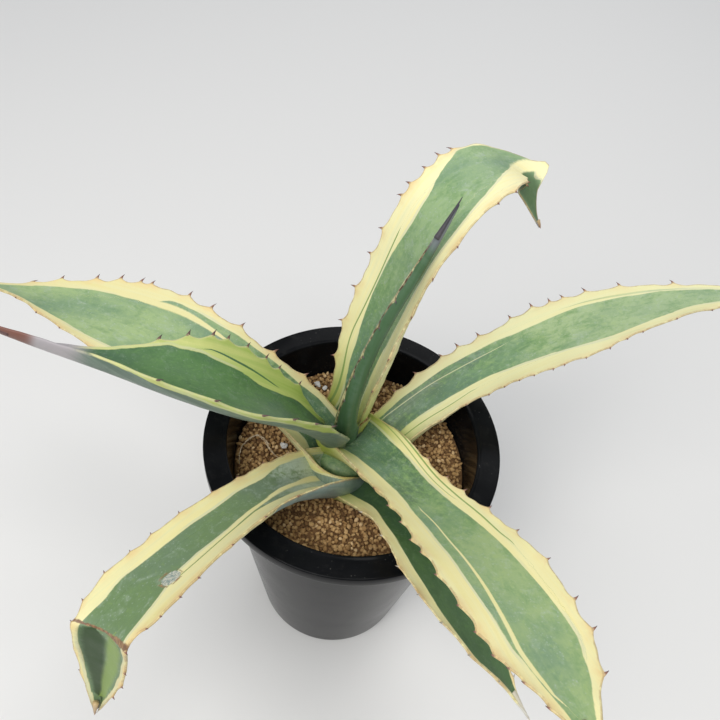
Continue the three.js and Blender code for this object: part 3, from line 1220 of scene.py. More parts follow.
    def marks(
        self, reach: np.ndarray, u: np.ndarray, under: bool, low: np.ndarray, high: np.ndarray
    ) -> dict[str, np.ndarray]:
        """What the skin needs to know at one column of points.

        Args:
            reach: The stations.
            u: The column's place across the blade.
            under: Whether it is on the under side.
            low: Where the left margin is.
            high: Where the right margin is.

        Returns:
            The marks by name.
        """
        half = self.half_width(reach)
        shift = self.under_shift * under * (1 - ease(reach, *self.shift_fades))
        inward = {Margin.LEFT: half * (1 + u) + shift, Margin.RIGHT: half * (1 - u) + shift}
        dry, scar, blush = np.zeros_like(reach), np.zeros_like(reach), np.zeros_like(reach)
        if self.scar:
            dry, scar = self.scar.marks(reach, inward[Margin.LEFT], self.length)
        if self.fold and self.fold.dry:
            dry = np.maximum(dry, self.fold.dryness(reach, u, self.length))
        for plan, depth in ((self.left, (u - low) * half), (self.right, (high - u) * half)):
            for at in plan.teeth:
                blush = np.maximum(blush, self.tooth_form.flush((reach - at) * self.length, depth))
        stripes = {
            f"stripe_{number}": stripe.mark(reach, inward[stripe.side])
            for number, stripe in enumerate(self.stripes)
        }
        return {
            "along": reach * self.length,
            "across": half * u,
            "reach": reach,
            "under": np.full_like(reach, float(under)),
            "band_left": inward[Margin.LEFT] - read_table(self.left.band, reach),
            "band_right": inward[Margin.RIGHT] - read_table(self.right.band, reach),
            "margin": np.minimum((u - low), (high - u)) * half,
            "blush": blush,
            "dry": dry,
            "scar": scar,
            "horn": read_table(self.horn, reach),
            **stripes,
        }

    def tooth(self, build: Build, at: float, side: Margin, length: float, seed: int) -> None:
        """Adds one hooked marginal tooth.

        Args:
            build: Where the tooth is gathered.
            at: Its place along the leaf.
            side: Its margin.
            length: How far it stands out.
            seed: Varies its lean.
        """
        form, draw, reach = self.tooth_form, np.random.default_rng(seed), np.array([at])
        half = self.half_width(reach)
        margin = side.value * (1 + self.margin_reach(reach, side) / half)
        middle = np.array([self.edge / 2])
        inner = self.lay(reach, margin - side.value * form.inset / half, middle)[0]
        root = self.lay(reach, margin, middle)[0]
        out = unit(root - inner)
        along = self.shape(reach).along[0]
        along = unit(along - out * along.dot(out))
        flat = np.cross(out, along)
        lean = form.lean + form.lean_spread * (draw.random() - form.centre_draw)
        rise = form.rise_spread * (draw.random() - form.centre_draw)
        turn, points = turns(form.around), []
        share = np.linspace(0, 1, form.rings)
        for t in share:
            centre = root + out * (length * (form.stretch * t - form.sunk))
            centre = centre + (along * lean + flat * rise) * (length * t * t)
            wide = min(form.widest, form.width_share * length) * (1 - t) ** form.taper + form.point
            deep = form.depth * (1 - t) + form.point
            points.append(oval(centre, turn, along * wide, flat * deep))
        faces = tube_faces(form.rings, form.around)
        build.add(np.vstack(points), faces, point=np.repeat(share, form.around))

    def spine_tip(self, build: Build) -> None:
        """Adds the terminal spine, a slim horn over the leaf's point.

        Args:
            build: Where the spine is gathered.
        """
        form = self.spine_form
        reach = np.linspace(1 - self.spine_length / self.length, 1, form.rings)
        shape, half = self.shape(reach), self.half_width(reach)
        past = shape.along[-1] * form.past_tip * self.spine_length
        turn, points = turns(form.around), []
        share = np.linspace(0, 1, form.rings)
        for i, t in enumerate(share):
            radius = form.radius * (1 - t) ** form.taper + form.point
            radius = min(radius, form.blade_share * half[i] + form.least)
            centre = shape.spine[i] + past * t * t - shape.up[i] * form.sunk
            points.append(oval(centre, turn, shape.side[i] * radius, shape.up[i] * radius))
        tone = self.spine_tone[0] + (self.spine_tone[1] - self.spine_tone[0]) * share
        faces = tube_faces(form.rings, form.around)
        build.add(np.vstack(points), faces, point=np.repeat(tone, form.around))

    def horns(self) -> bpy.types.Object:
        """Builds the marginal teeth and the terminal spine as one piece.

        Returns:
            The object.
        """
        build = Build()
        self.spine_tip(build)
        for side in Margin:
            plan = self.plan(side)
            for i, at in enumerate(plan.teeth):
                size = plan.tooth * self.tooth_form.scale(at, i, self.seed)
                self.tooth(build, at, side, size, self.seed * 100 + i * 2 + (side is Margin.LEFT))
        return build.finish(f"{self.node}_teeth")

    def build(self) -> None:
        """Builds, dresses and places the leaf's pieces."""
        blade, horns = self.blade(), self.horns()
        dress(blade, self.finish.material(f"{self.node}_skin", self.seed * SKIN_SHIFT, self.stripes))
        dress(horns, self.horn_finish.material(f"{self.node}_horn"))
        place(blade, self.slot, self.node)
        place(horns, self.slot)


# -------- pot and fill


@dataclass(frozen=True)
class PotFinish:
    """Glossy black moulded plastic with dust and light scuffs."""

    black: Colour = (0.0035, 0.0038, 0.0045)
    grey: Colour = (0.008, 0.0085, 0.0095)
    dust: Colour = (0.26, 0.25, 0.23)
    haze_share: float = 0.035
    dot_share: float = 0.45
    roughness: float = 0.16

    def material(self) -> bpy.types.Material:
        """Wires the plastic.

        Returns:
            The material.
        """
        s = Shading("pot_plastic")
        spot = s.spot()
        cloud, haze = s.noise(spot, 35.0, 4, 0.6), s.noise(spot, 160.0, 5, 0.7)
        dots = s.times(s.step(s.cells(spot, 420.0), 0.05, 0.16, 1.0, 0.0), s.step(cloud, 0.45, 0.65))
        skin = s.mix(s.step(cloud, 0.3, 0.75), self.black, self.grey)
        skin = s.mix(s.step(haze, 0.52, 0.8, 0.0, self.haze_share), skin, self.dust)
        s.set(Base_Color=s.mix(s.times(dots, self.dot_share), skin, self.dust))
        s.set(Roughness=s.step(cloud, 0.3, 0.8, self.roughness, self.roughness + 0.07))
        s.set(Specular_IOR_Level=0.1, IOR=1.4)
        return s.material


@dataclass
class NurseryPot:
    """The pot: a thin tapered wall, a flat flange with a turned-down skirt, and a drained floor."""

    height: float = 170
    rim_outer: float = 75
    rim_inner: float = 63.5
    skirt: float = 7
    rim_thick: float = 1.8
    body_top: float = 65
    base: float = 46.5
    wall: float = 1.5
    floor: float = 2
    foot_rings: Sequence[float] = (14, 12.5, 1.6)
    foot_edge: Sequence[float] = (0.4, 1.2)
    foot_top: float = 3
    collar: float = 26
    collar_draw: Sequence[float] = (0.4, 0.1)
    rim_dish: Sequence[float] = (2.2, 0.5)
    lip: Sequence[float] = (0.3, 2.5)
    heel: float = 1.5
    corner: float = 0.9
    sharp_from: float = 38
    hole_radius: float = 4.5
    hole_circle: float = 30
    hole_facets: int = 32
    hole_past: float = 3
    holes: int = 8
    facets: int = 192

    def profile(self) -> list[tuple[float, float]]:
        """The wall's outline, from the axis below to the axis inside.

        Returns:
            (radius, height) pairs.
        """
        h, flange, floor = self.height, self.height - self.rim_thick, self.floor
        base, inner, inside_base = self.base, self.rim_inner, self.base - self.wall
        outer, skirt_end, skirt_inner = self.rim_outer, h - self.skirt, self.rim_outer - self.rim_thick
        under_collar, at_flange = (self.body_top - draw for draw in self.collar_draw)
        foot = [(0.0, 0.0), *((base - ring, 0.0) for ring in self.foot_rings)]
        foot.append((base - self.foot_edge[0], self.foot_edge[1]))
        wall = [(base, self.foot_top), (under_collar, h - self.collar), (at_flange, flange)]
        skirt = [(skirt_inner, flange), (skirt_inner, skirt_end), (outer, skirt_end), (outer, h)]
        mouth = [(inner + self.rim_dish[0], h - self.rim_dish[1]), (inner, h)]
        mouth.append((inner - self.lip[0], h - self.lip[1]))
        inside = [(inside_base, floor + self.heel), (inside_base - self.heel, floor), (0.0, floor)]
        return [*foot, *wall, *skirt, *mouth, *inside]

    def drills(self) -> bpy.types.Object:
        """The pins that cut the drain holes.

        Returns:
            The pins as one object.
        """
        build, low, high = Build(), -self.hole_past, self.floor + self.hole_past
        pin = [(0, low), (self.hole_radius, low), (self.hole_radius, high), (0, high)]
        points, faces = lathe(pin, self.hole_facets)
        for i in range(self.holes):
            angle = 2 * math.pi * (i + 0.5) / self.holes
            build.add(points + self.hole_circle * np.array([math.cos(angle), math.sin(angle), 0]), faces)
        return build.finish("drill", smooth=False)

    def build(self) -> None:
        """Turns the wall, drills the floor, and dresses and places the pot."""
        pot = one_part("pot_shell", *lathe(rounded(self.profile(), self.corner), self.facets))
        drill = self.drills()
        cut = pot.modifiers.new("holes", "BOOLEAN")
        cut.operation, cut.solver, cut.object = "DIFFERENCE", "EXACT", drill
        shape = bpy.data.meshes.new_from_object(pot.evaluated_get(bpy.context.evaluated_depsgraph_get()))
        pot.modifiers.clear()
        pot.data = shape
        bpy.data.objects.remove(drill)
        shape.set_sharp_from_angle(angle=math.radians(self.sharp_from))
        dress(pot, PotFinish().material())
        place(pot, "pot_plastic", "pot")


@dataclass(frozen=True)
class GranuleFinish:
    """Fired clay granules, tan to dark brown."""

    dark: Colour = (0.185, 0.098, 0.037)
    brown: Colour = (0.39, 0.225, 0.086)
    tan: Colour = (0.57, 0.365, 0.157)
    light: Colour = (0.78, 0.56, 0.30)
    roughness: float = 0.93

    def material(self, name: str, shade: float) -> bpy.types.Material:
        """Wires the granules.

        Args:
            name: The material's name.
            shade: Added to each granule's own tone; it is painted light and shade, a little lighter for the
                top granules and darker for the bed and the crumbs below them.

        Returns:
            The material.
        """
        s = Shading(name)
        grain = s.noise(s.spot(), 1500.0, 4, 0.7)
        tone = s.add(s.mark("tone"), s.swing(grain, 0.5), shade)
        skin = s.mix(s.step(tone, 0.05, 0.4), self.dark, self.brown)
        skin = s.mix(s.step(tone, 0.35, 0.75), skin, self.tan)
        s.set(Base_Color=s.mix(s.step(tone, 0.8, 1.1), skin, self.light), Roughness=self.roughness)
        s.set(Normal=s.bump(grain, 0.6, 0.0003))
        return s.material


@dataclass(frozen=True)
class GranuleLayer:
    """One layer of loose granules: its name, spacing, size, height over the mix, scatter and finish, whose
    tone shift is painted light on the top layer and painted shade on the crumbs.
    """

    name: str
    pitch: float
    size: float
    rise: float
    spread: float
    fine: bool
    clay: str
    shade: float


@dataclass
class PottingMix:
    """The granular mix: a bed inside the pot and loose granules on its top."""

    top: float = 147
    low: float = 16.35
    edge: float = 60.6
    low_radius: float = 46.2
    sunk: float = 1.1
    bed_rings: int = 34
    bed_rough: float = 0.35
    bed_facets: int = 96
    bed_heel: Sequence[float] = (2, 1.5)
    bed_shoulder: Sequence[float] = (0.6, 0.5)
    bed_inmost: float = 1.5
    bed_band: float = 0.4
    # The bed's low tone and its shade shift are painted shade: the bed shows only in the gaps between the
    # granules.
    bed_tone: float = 0.1
    bed_shade: float = -0.05
    hill_rise: Sequence[float] = (0.8, 0.5)
    hill_run: Sequence[float] = (13, 11, 7.5)
    hill_shift: float = 0.7
    hill_fade: float = 0.5
    hill_fades: Sequence[float] = (50, 61)
    stem_clear: float = 10
    wall_clear: float = 0.9
    jitter: float = 0.42
    row_gap: float = 0.866
    kinds: int = 9
    crumb_flats: int = 5
    flat_from: float = 0.22
    flat_span: Sequence[float] = (-0.1, 0.3)
    flat_depth: Sequence[float] = (-0.9, 0.1)
    crumb_stretch: Sequence[float] = (0.8, 1.15)
    size_range: tuple[float, float] = (0.78, 1.18)
    tone_middle: float = 0.5
    tone_spread: float = 0.24
    tone_most: float = 1.05
    seed: int = 21
    # The top granules' small lift is painted light and the crumbs' darker shift is painted shade, since the
    # crumbs lie lower, in the gaps.
    layers: Sequence[GranuleLayer] = (
        GranuleLayer("mix_granules", 2.28, 2.5, 0.1, 0.55, True, "mix_granule_clay", 0.05),
        GranuleLayer("mix_crumbs", 2.0, 1.7, -0.7, 0.3, False, "mix_crumb_clay", -0.2),
    )

    def hills(self, x: np.ndarray, y: np.ndarray) -> np.ndarray:
        """The gentle rise and fall of the mix's top.

        Args:
            x: Places to the right of the pot's axis.
            y: Places behind it.

        Returns:
            The height over the plain top at each place.
        """
        (broad, narrow), (wide, deep, slant) = self.hill_rise, self.hill_run
        slow = broad * np.sin(x / wide + self.hill_shift) * np.cos(y / deep)
        slow = slow + narrow * np.sin((x + y) / slant)
        return slow * (1 - self.hill_fade * ease(np.hypot(x, y), *self.hill_fades))

    def bed(self) -> bpy.types.Object:
        """The body of the mix, its top a little below the granules.

        Returns:
            The piece.
        """
        face = self.top - self.sunk
        (heel_in, heel_up), (edge_in, edge_down) = self.bed_heel, self.bed_shoulder
        wall = [(self.low_radius, self.low + heel_up), (self.edge, face - edge_down)]
        radii = np.linspace(self.edge - edge_in, self.bed_inmost, self.bed_rings)
        across = [(float(r), face) for r in radii]
        profile = [(0.0, self.low), (self.low_radius - heel_in, self.low), *wall, *across, (0.0, face)]
        points, faces = lathe(profile, self.bed_facets)
        on_top = points[:, 2] > face - self.bed_band
        draw = np.random.default_rng(self.seed)
        rough = draw.uniform(-self.bed_rough, self.bed_rough, on_top.sum())
        points[on_top, 2] += self.hills(points[on_top, 0], points[on_top, 1]) + rough
        bed = one_part("mix_bed", points, faces, tone=self.bed_tone)
        dress(bed, GranuleFinish().material("mix_bed_clay", self.bed_shade))
        return bed

    def crumb(self, draw: np.random.Generator, fine: bool) -> tuple[np.ndarray, Faces]:
        """One rounded, uneven granule of unit size.

        Args:
            draw: The source of its shape.
            fine: Whether it is one of the finer-faced ones.

        Returns:
            Its points and faces.
        """
        points, faces = ball(2 if fine else 1, 0.5)
        for _ in range(self.crumb_flats):
            way = unit(draw.normal(size=3))
            past = np.clip(points @ way - self.flat_from, *self.flat_span)
            points += np.outer(past, way) * draw.uniform(*self.flat_depth)
        points *= draw.uniform(*self.crumb_stretch, 3)
        return points, faces

    def spots(self, pitch: float, draw: np.random.Generator) -> list[tuple[float, float]]:
        """Scattered places over the top of the mix.

        Args:
            pitch: The mean spacing.
            draw: The source of the scatter.

        Returns:
            Rows of x and y.
        """
        rows, jitter, row_gap = [], self.jitter * pitch, self.row_gap * pitch
        count = int(self.edge / pitch) + 2
        for i in range(-count, count + 1):
            for j in range(-count, count + 1):
                x = (i + 0.5 * (j % 2)) * pitch + draw.uniform(-jitter, jitter)
                y = j * row_gap + draw.uniform(-jitter, jitter)
                if self.stem_clear < math.hypot(x, y) < self.edge - self.wall_clear:
                    rows.append((x, y))
        return rows

    def scatter(self, layer: GranuleLayer) -> bpy.types.Object:
        """Builds and dresses a layer of loose granules.

        Args:
            layer: The layer.

        Returns:
            The piece.
        """
        draw = np.random.default_rng(self.seed + len(layer.name))
        kinds = [self.crumb(draw, layer.fine) for _ in range(self.kinds)]
        build = Build()
        for x, y in self.spots(layer.pitch, draw):
            points, faces = kinds[int(draw.integers(len(kinds)))]
            turn = np.linalg.qr(draw.normal(size=(3, 3)))[0]
            scale = layer.size * draw.uniform(*self.size_range)
            hill = float(self.hills(np.array(x), np.array(y)))
            z = self.top + layer.rise + hill + draw.uniform(-layer.spread, layer.spread)
            tone = float(np.clip(draw.normal(self.tone_middle, self.tone_spread), 0, self.tone_most))
            build.add(points @ turn * scale + np.array([x, y, z]), faces, tone=tone)
        piece = build.finish(layer.name)
        dress(piece, GranuleFinish().material(layer.clay, layer.shade))
        return piece

    def build(self) -> None:
        """Builds, dresses and places the mix."""
        place(self.bed(), "granules", "potting_mix")
        for layer in self.layers:
            place(self.scatter(layer), "granules")


@dataclass
class LooseTrim:
    """The loose bits on the mix: white pumice (place and radius) and one dry fibre."""

    pumice: dict[str, Sequence[float]] = field(
        default_factory=lambda: {
            "pumice_a": (-25, 44.5, 149.4, 2.3),
            "pumice_b": (-20.5, 43, 149.2, 1.9),
            "pumice_c": (-36, 1.5, 149.3, 2.1),
        }
    )
    pumice_stretch: Sequence[float] = (1.05, 0.95, 0.72)
    pumice_seed: int = 40
    flats: int = 9
    flat_depth: float = 0.85
    flat_from: tuple[float, float] = (0.45, 0.75)
    pits: int = 26
    pit_depth: float = 0.12
    pit_width: tuple[float, float] = (0.1, 0.2)
    pumice_finish: GrainFinish = GrainFinish(
        "pumice_white", dark=(0.45, 0.42, 0.37), light=(0.86, 0.85, 0.82), scale=1400.0, detail=5,
        coarse=0.7, blend=(0.35, 0.6), roughness=0.9, relief=0.7, depth_m=0.0004,
    )
    strands: Sequence[Sequence[float]] = ((0, 1, 0.34, 0.0), (0.3, 0.93, 0.2, 0.7))
    strand_steps: int = 120
    strand_facets: int = 8
    strand_sway: Sequence[float] = (7, 5)
    sway_depth: float = 0.6
    strand_kink: float = 0.25
    kink_seeds: Sequence[int] = (5, 8)
    kink_waves: Sequence[Sequence[float]] = ((9, 17), (8, 15))
    strand_ends: float = 0.35
    strand_span: Sequence[float] = (0.04, 0.96)
    strand_swell: float = 0.6
    strand_flat: float = 0.7
    fibre_path: Sequence[Sequence[float]] = (
        (-56, -14, 148.7), (-57.5, -6, 149.4), (-55, 1, 149.8), (-50.5, 4.5, 149.9),
        (-46, 2.5, 149.8), (-42, -3, 149.5), (-36.5, -7, 148.8),
    )
    fibre_finish: GrainFinish = GrainFinish(
        "fibre_dry", dark=(0.42, 0.30, 0.18), light=(0.72, 0.60, 0.42), scale=700.0, detail=3, coarse=0.6,
        blend=(0.35, 0.65), roughness=0.8, relief=0.4, depth_m=0.0002,
    )

    def stone(self, node: str, spot: Sequence[float], seed: int) -> bpy.types.Object:
        """One rough white pumice bit.

        Args:
            node: The CAD node that it stands for.
            spot: Its place and its radius.
            seed: Varies its flats and pits.

        Returns:
            The piece.
        """
        points, faces = ball(4, 1.0)
        draw = np.random.default_rng(seed)
        for _ in range(self.flats):
            way = unit(draw.normal(size=3))
            past = np.clip(points @ way - draw.uniform(*self.flat_from), 0, 1)
            points -= np.outer(past, way) * self.flat_depth
        for _ in range(self.pits):
            gap = np.linalg.norm(unit(points) - unit(draw.normal(size=3)), axis=1)
            points *= (1 - self.pit_depth * bell(gap, draw.uniform(*self.pit_width)))[:, None]
        points = points * spot[3] * np.array(self.pumice_stretch) + np.array(spot[:3])
        return one_part(f"{node}_bit", points, faces)

    def fibre(self) -> bpy.types.Object:
        """The dry fibre, tapered to both ends, with a finer strand beside it.

        Returns:
            The piece.
        """
        build, turn = Build(), turns(self.strand_facets)
        knots = np.linspace(0, 1, len(self.fibre_path))
        path = np.array(self.fibre_path, float)
        for strand, (start, stop, radius, shift) in enumerate(self.strands):
            t = np.linspace(start, stop, self.strand_steps)
            centre = np.stack([smooth_curve(knots, path[:, i], t) for i in range(3)], -1)
            sway_x = shift * np.sin(self.strand_sway[0] * t)
            sway_y = shift * np.cos(self.strand_sway[1] * t) * self.sway_depth
            for axis, sway in enumerate((sway_x, sway_y)):
                kink = wobble(t, self.kink_seeds[axis] + strand, self.kink_waves[axis])
                centre[:, axis] += sway + self.strand_kink * kink
            along = unit(np.gradient(centre, axis=0))
            side = unit(np.cross(along, (0, 0, 1.0)))
            up = np.cross(side, along)
            swell = np.sin(math.pi * np.linspace(*self.strand_span, len(t))) ** self.strand_swell
            wide = radius * (self.strand_ends + (1 - self.strand_ends) * swell)
            rows = zip(centre, wide, side, up)
            rings = [oval(c, turn, a * r, b * r * self.strand_flat) for c, r, a, b in rows]
            build.add(np.vstack(rings), tube_faces(len(t), self.strand_facets))
        return build.finish("dry_fibre_strand")

    def build(self) -> None:
        """Builds, dresses and places the trim."""
        skin = self.pumice_finish.material()
        for i, (node, spot) in enumerate(self.pumice.items()):
            stone = self.stone(node, spot, self.pumice_seed + i)
            dress(stone, skin)
            place(stone, "pumice", node)
        fibre = self.fibre()
        dress(fibre, self.fibre_finish.material())
        place(fibre, "fibre", "dry_fibre")


@dataclass(frozen=True)
class StemFinish:
    """Pale fibrous bark on the stem and roots, with green sheaths above the mix."""

    bark: tuple[Colour, Colour] = ((0.30, 0.22, 0.12), (0.62, 0.58, 0.36))
    moss: Colour = (0.42, 0.46, 0.18)
    sheath: tuple[Colour, Colour] = ((0.13, 0.23, 0.11), (0.28, 0.39, 0.2))
    sheath_from_m: tuple[float, float] = (0.147, 0.149)
    roughness: float = 0.7

    def material(self) -> bpy.types.Material:
        """Wires the stem.

        Returns:
            The material.
        """
        s = Shading("stem_bark")
        spot = s.spot()
        rings = s.noise(spot, 260.0, 5, 0.65, 0.6)
        skin = s.mix(s.step(rings, 0.3, 0.7), *self.bark)
        skin = s.mix(s.step(s.noise(spot, 70.0, 3), 0.45, 0.7, 0.0, 0.6), skin, self.moss)
        sheath = s.mix(s.step(s.noise(spot, 120.0, 3, 0.6), 0.35, 0.7), *self.sheath)
        skin = s.mix(s.step(s.height(), *self.sheath_from_m), skin, sheath)
        s.set(Base_Color=skin, Roughness=self.roughness)
        s.set(Normal=s.bump(rings, 0.6, 0.0006))
        return s.material


@dataclass(frozen=True)
class GravelFinish:
    """Coarse drainage gravel."""

    stone: Colour = (0.42, 0.34, 0.25)
    gap: Colour = (0.12, 0.09, 0.06)
    chalk: Colour = (0.55, 0.50, 0.43)
    roughness: float = 0.92

    def material(self) -> bpy.types.Material:
        """Wires the gravel.

        Returns:
            The material.
        """
        s = Shading("gravel_coarse")
        spot = s.spot()
        stones, grain = s.cells(spot, 190.0), s.noise(spot, 900.0, 4, 0.7)
        skin = s.mix(s.step(stones, 0.25, 0.7), self.stone, self.gap)
        skin = s.mix(s.step(grain, 0.4, 0.7, 0.0, 0.5), skin, self.chalk)
        s.set(Base_Color=skin, Roughness=self.roughness)
        s.set(Normal=s.bump(stones, 0.9, 0.002, s.bump(grain, 0.4, 0.0004)))
        return s.material


@dataclass(frozen=True)
class CoreFinish:
    """Pale green, closely ribbed young skin."""

    deep: Colour = (0.10, 0.20, 0.09)
    mid: Colour = (0.24, 0.36, 0.15)
    pale: Colour = (0.40, 0.47, 0.24)
    roughness: float = 0.5

    def material(self) -> bpy.types.Material:
        """Wires the skin.

        Returns:
            The material.
        """
        s = Shading("core_skin")
        spot = s.spot()
        cloud, fine = s.noise(spot, 120.0, 3, 0.6), s.noise(spot, 900.0, 3, 0.6)
        skin = s.mix(s.step(cloud, 0.35, 0.7), self.deep, self.mid)
        s.set(Base_Color=s.mix(s.step(fine, 0.4, 0.7, 0.0, 0.4), skin, self.pale), Roughness=self.roughness)
        s.set(Normal=s.bump(fine, 0.2, 0.0002))
        return s.material


@dataclass
class StemAndFill:
    """The stem with its roots and the drainage layer, which keep their CAD shape, and the stem's core."""

    core_at: Sequence[float] = (-5.5, -6.0, 0.0)
    core_profile: Profile = ((0, 143), (8.0, 143), (8.8, 148), (8.0, 156), (0, 159))
    core_round: float = 4.0
    core_steps: int = 9
    core_facets: int = 96
    core_stretch: float = 1.55
    rib: float = 0.07
    rib_twist: float = 0.5
    rib_level: float = 148

    def core(self) -> bpy.types.Object:
        """The youngest leaf bases, closed round the top of the stem.

        Returns:
            The piece.
        """
        points, faces = lathe(rounded(self.core_profile, self.core_round, self.core_steps), self.core_facets)
        turn = np.arctan2(points[:, 1], points[:, 0])
        ribs = 1 + self.rib * np.sin(2 * turn + self.rib_twist * (points[:, 2] - self.rib_level))
        points[:, :2] *= ribs[:, None] * np.array([self.core_stretch, 1.0])
        return one_part("stem_core", points + np.array(self.core_at), faces)

    def build(self) -> None:
        """Adds the core above the stem and dresses the two nodes."""
        core = self.core()
        dress(core, CoreFinish().material())
        place(core, "leaf")
        for node, finish in (("stem_roots", StemFinish()), ("drainage_gravel", GravelFinish())):
            dress(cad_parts[node], finish.material())
            LOG.info("%s: dressed", node)


# -------- the crown


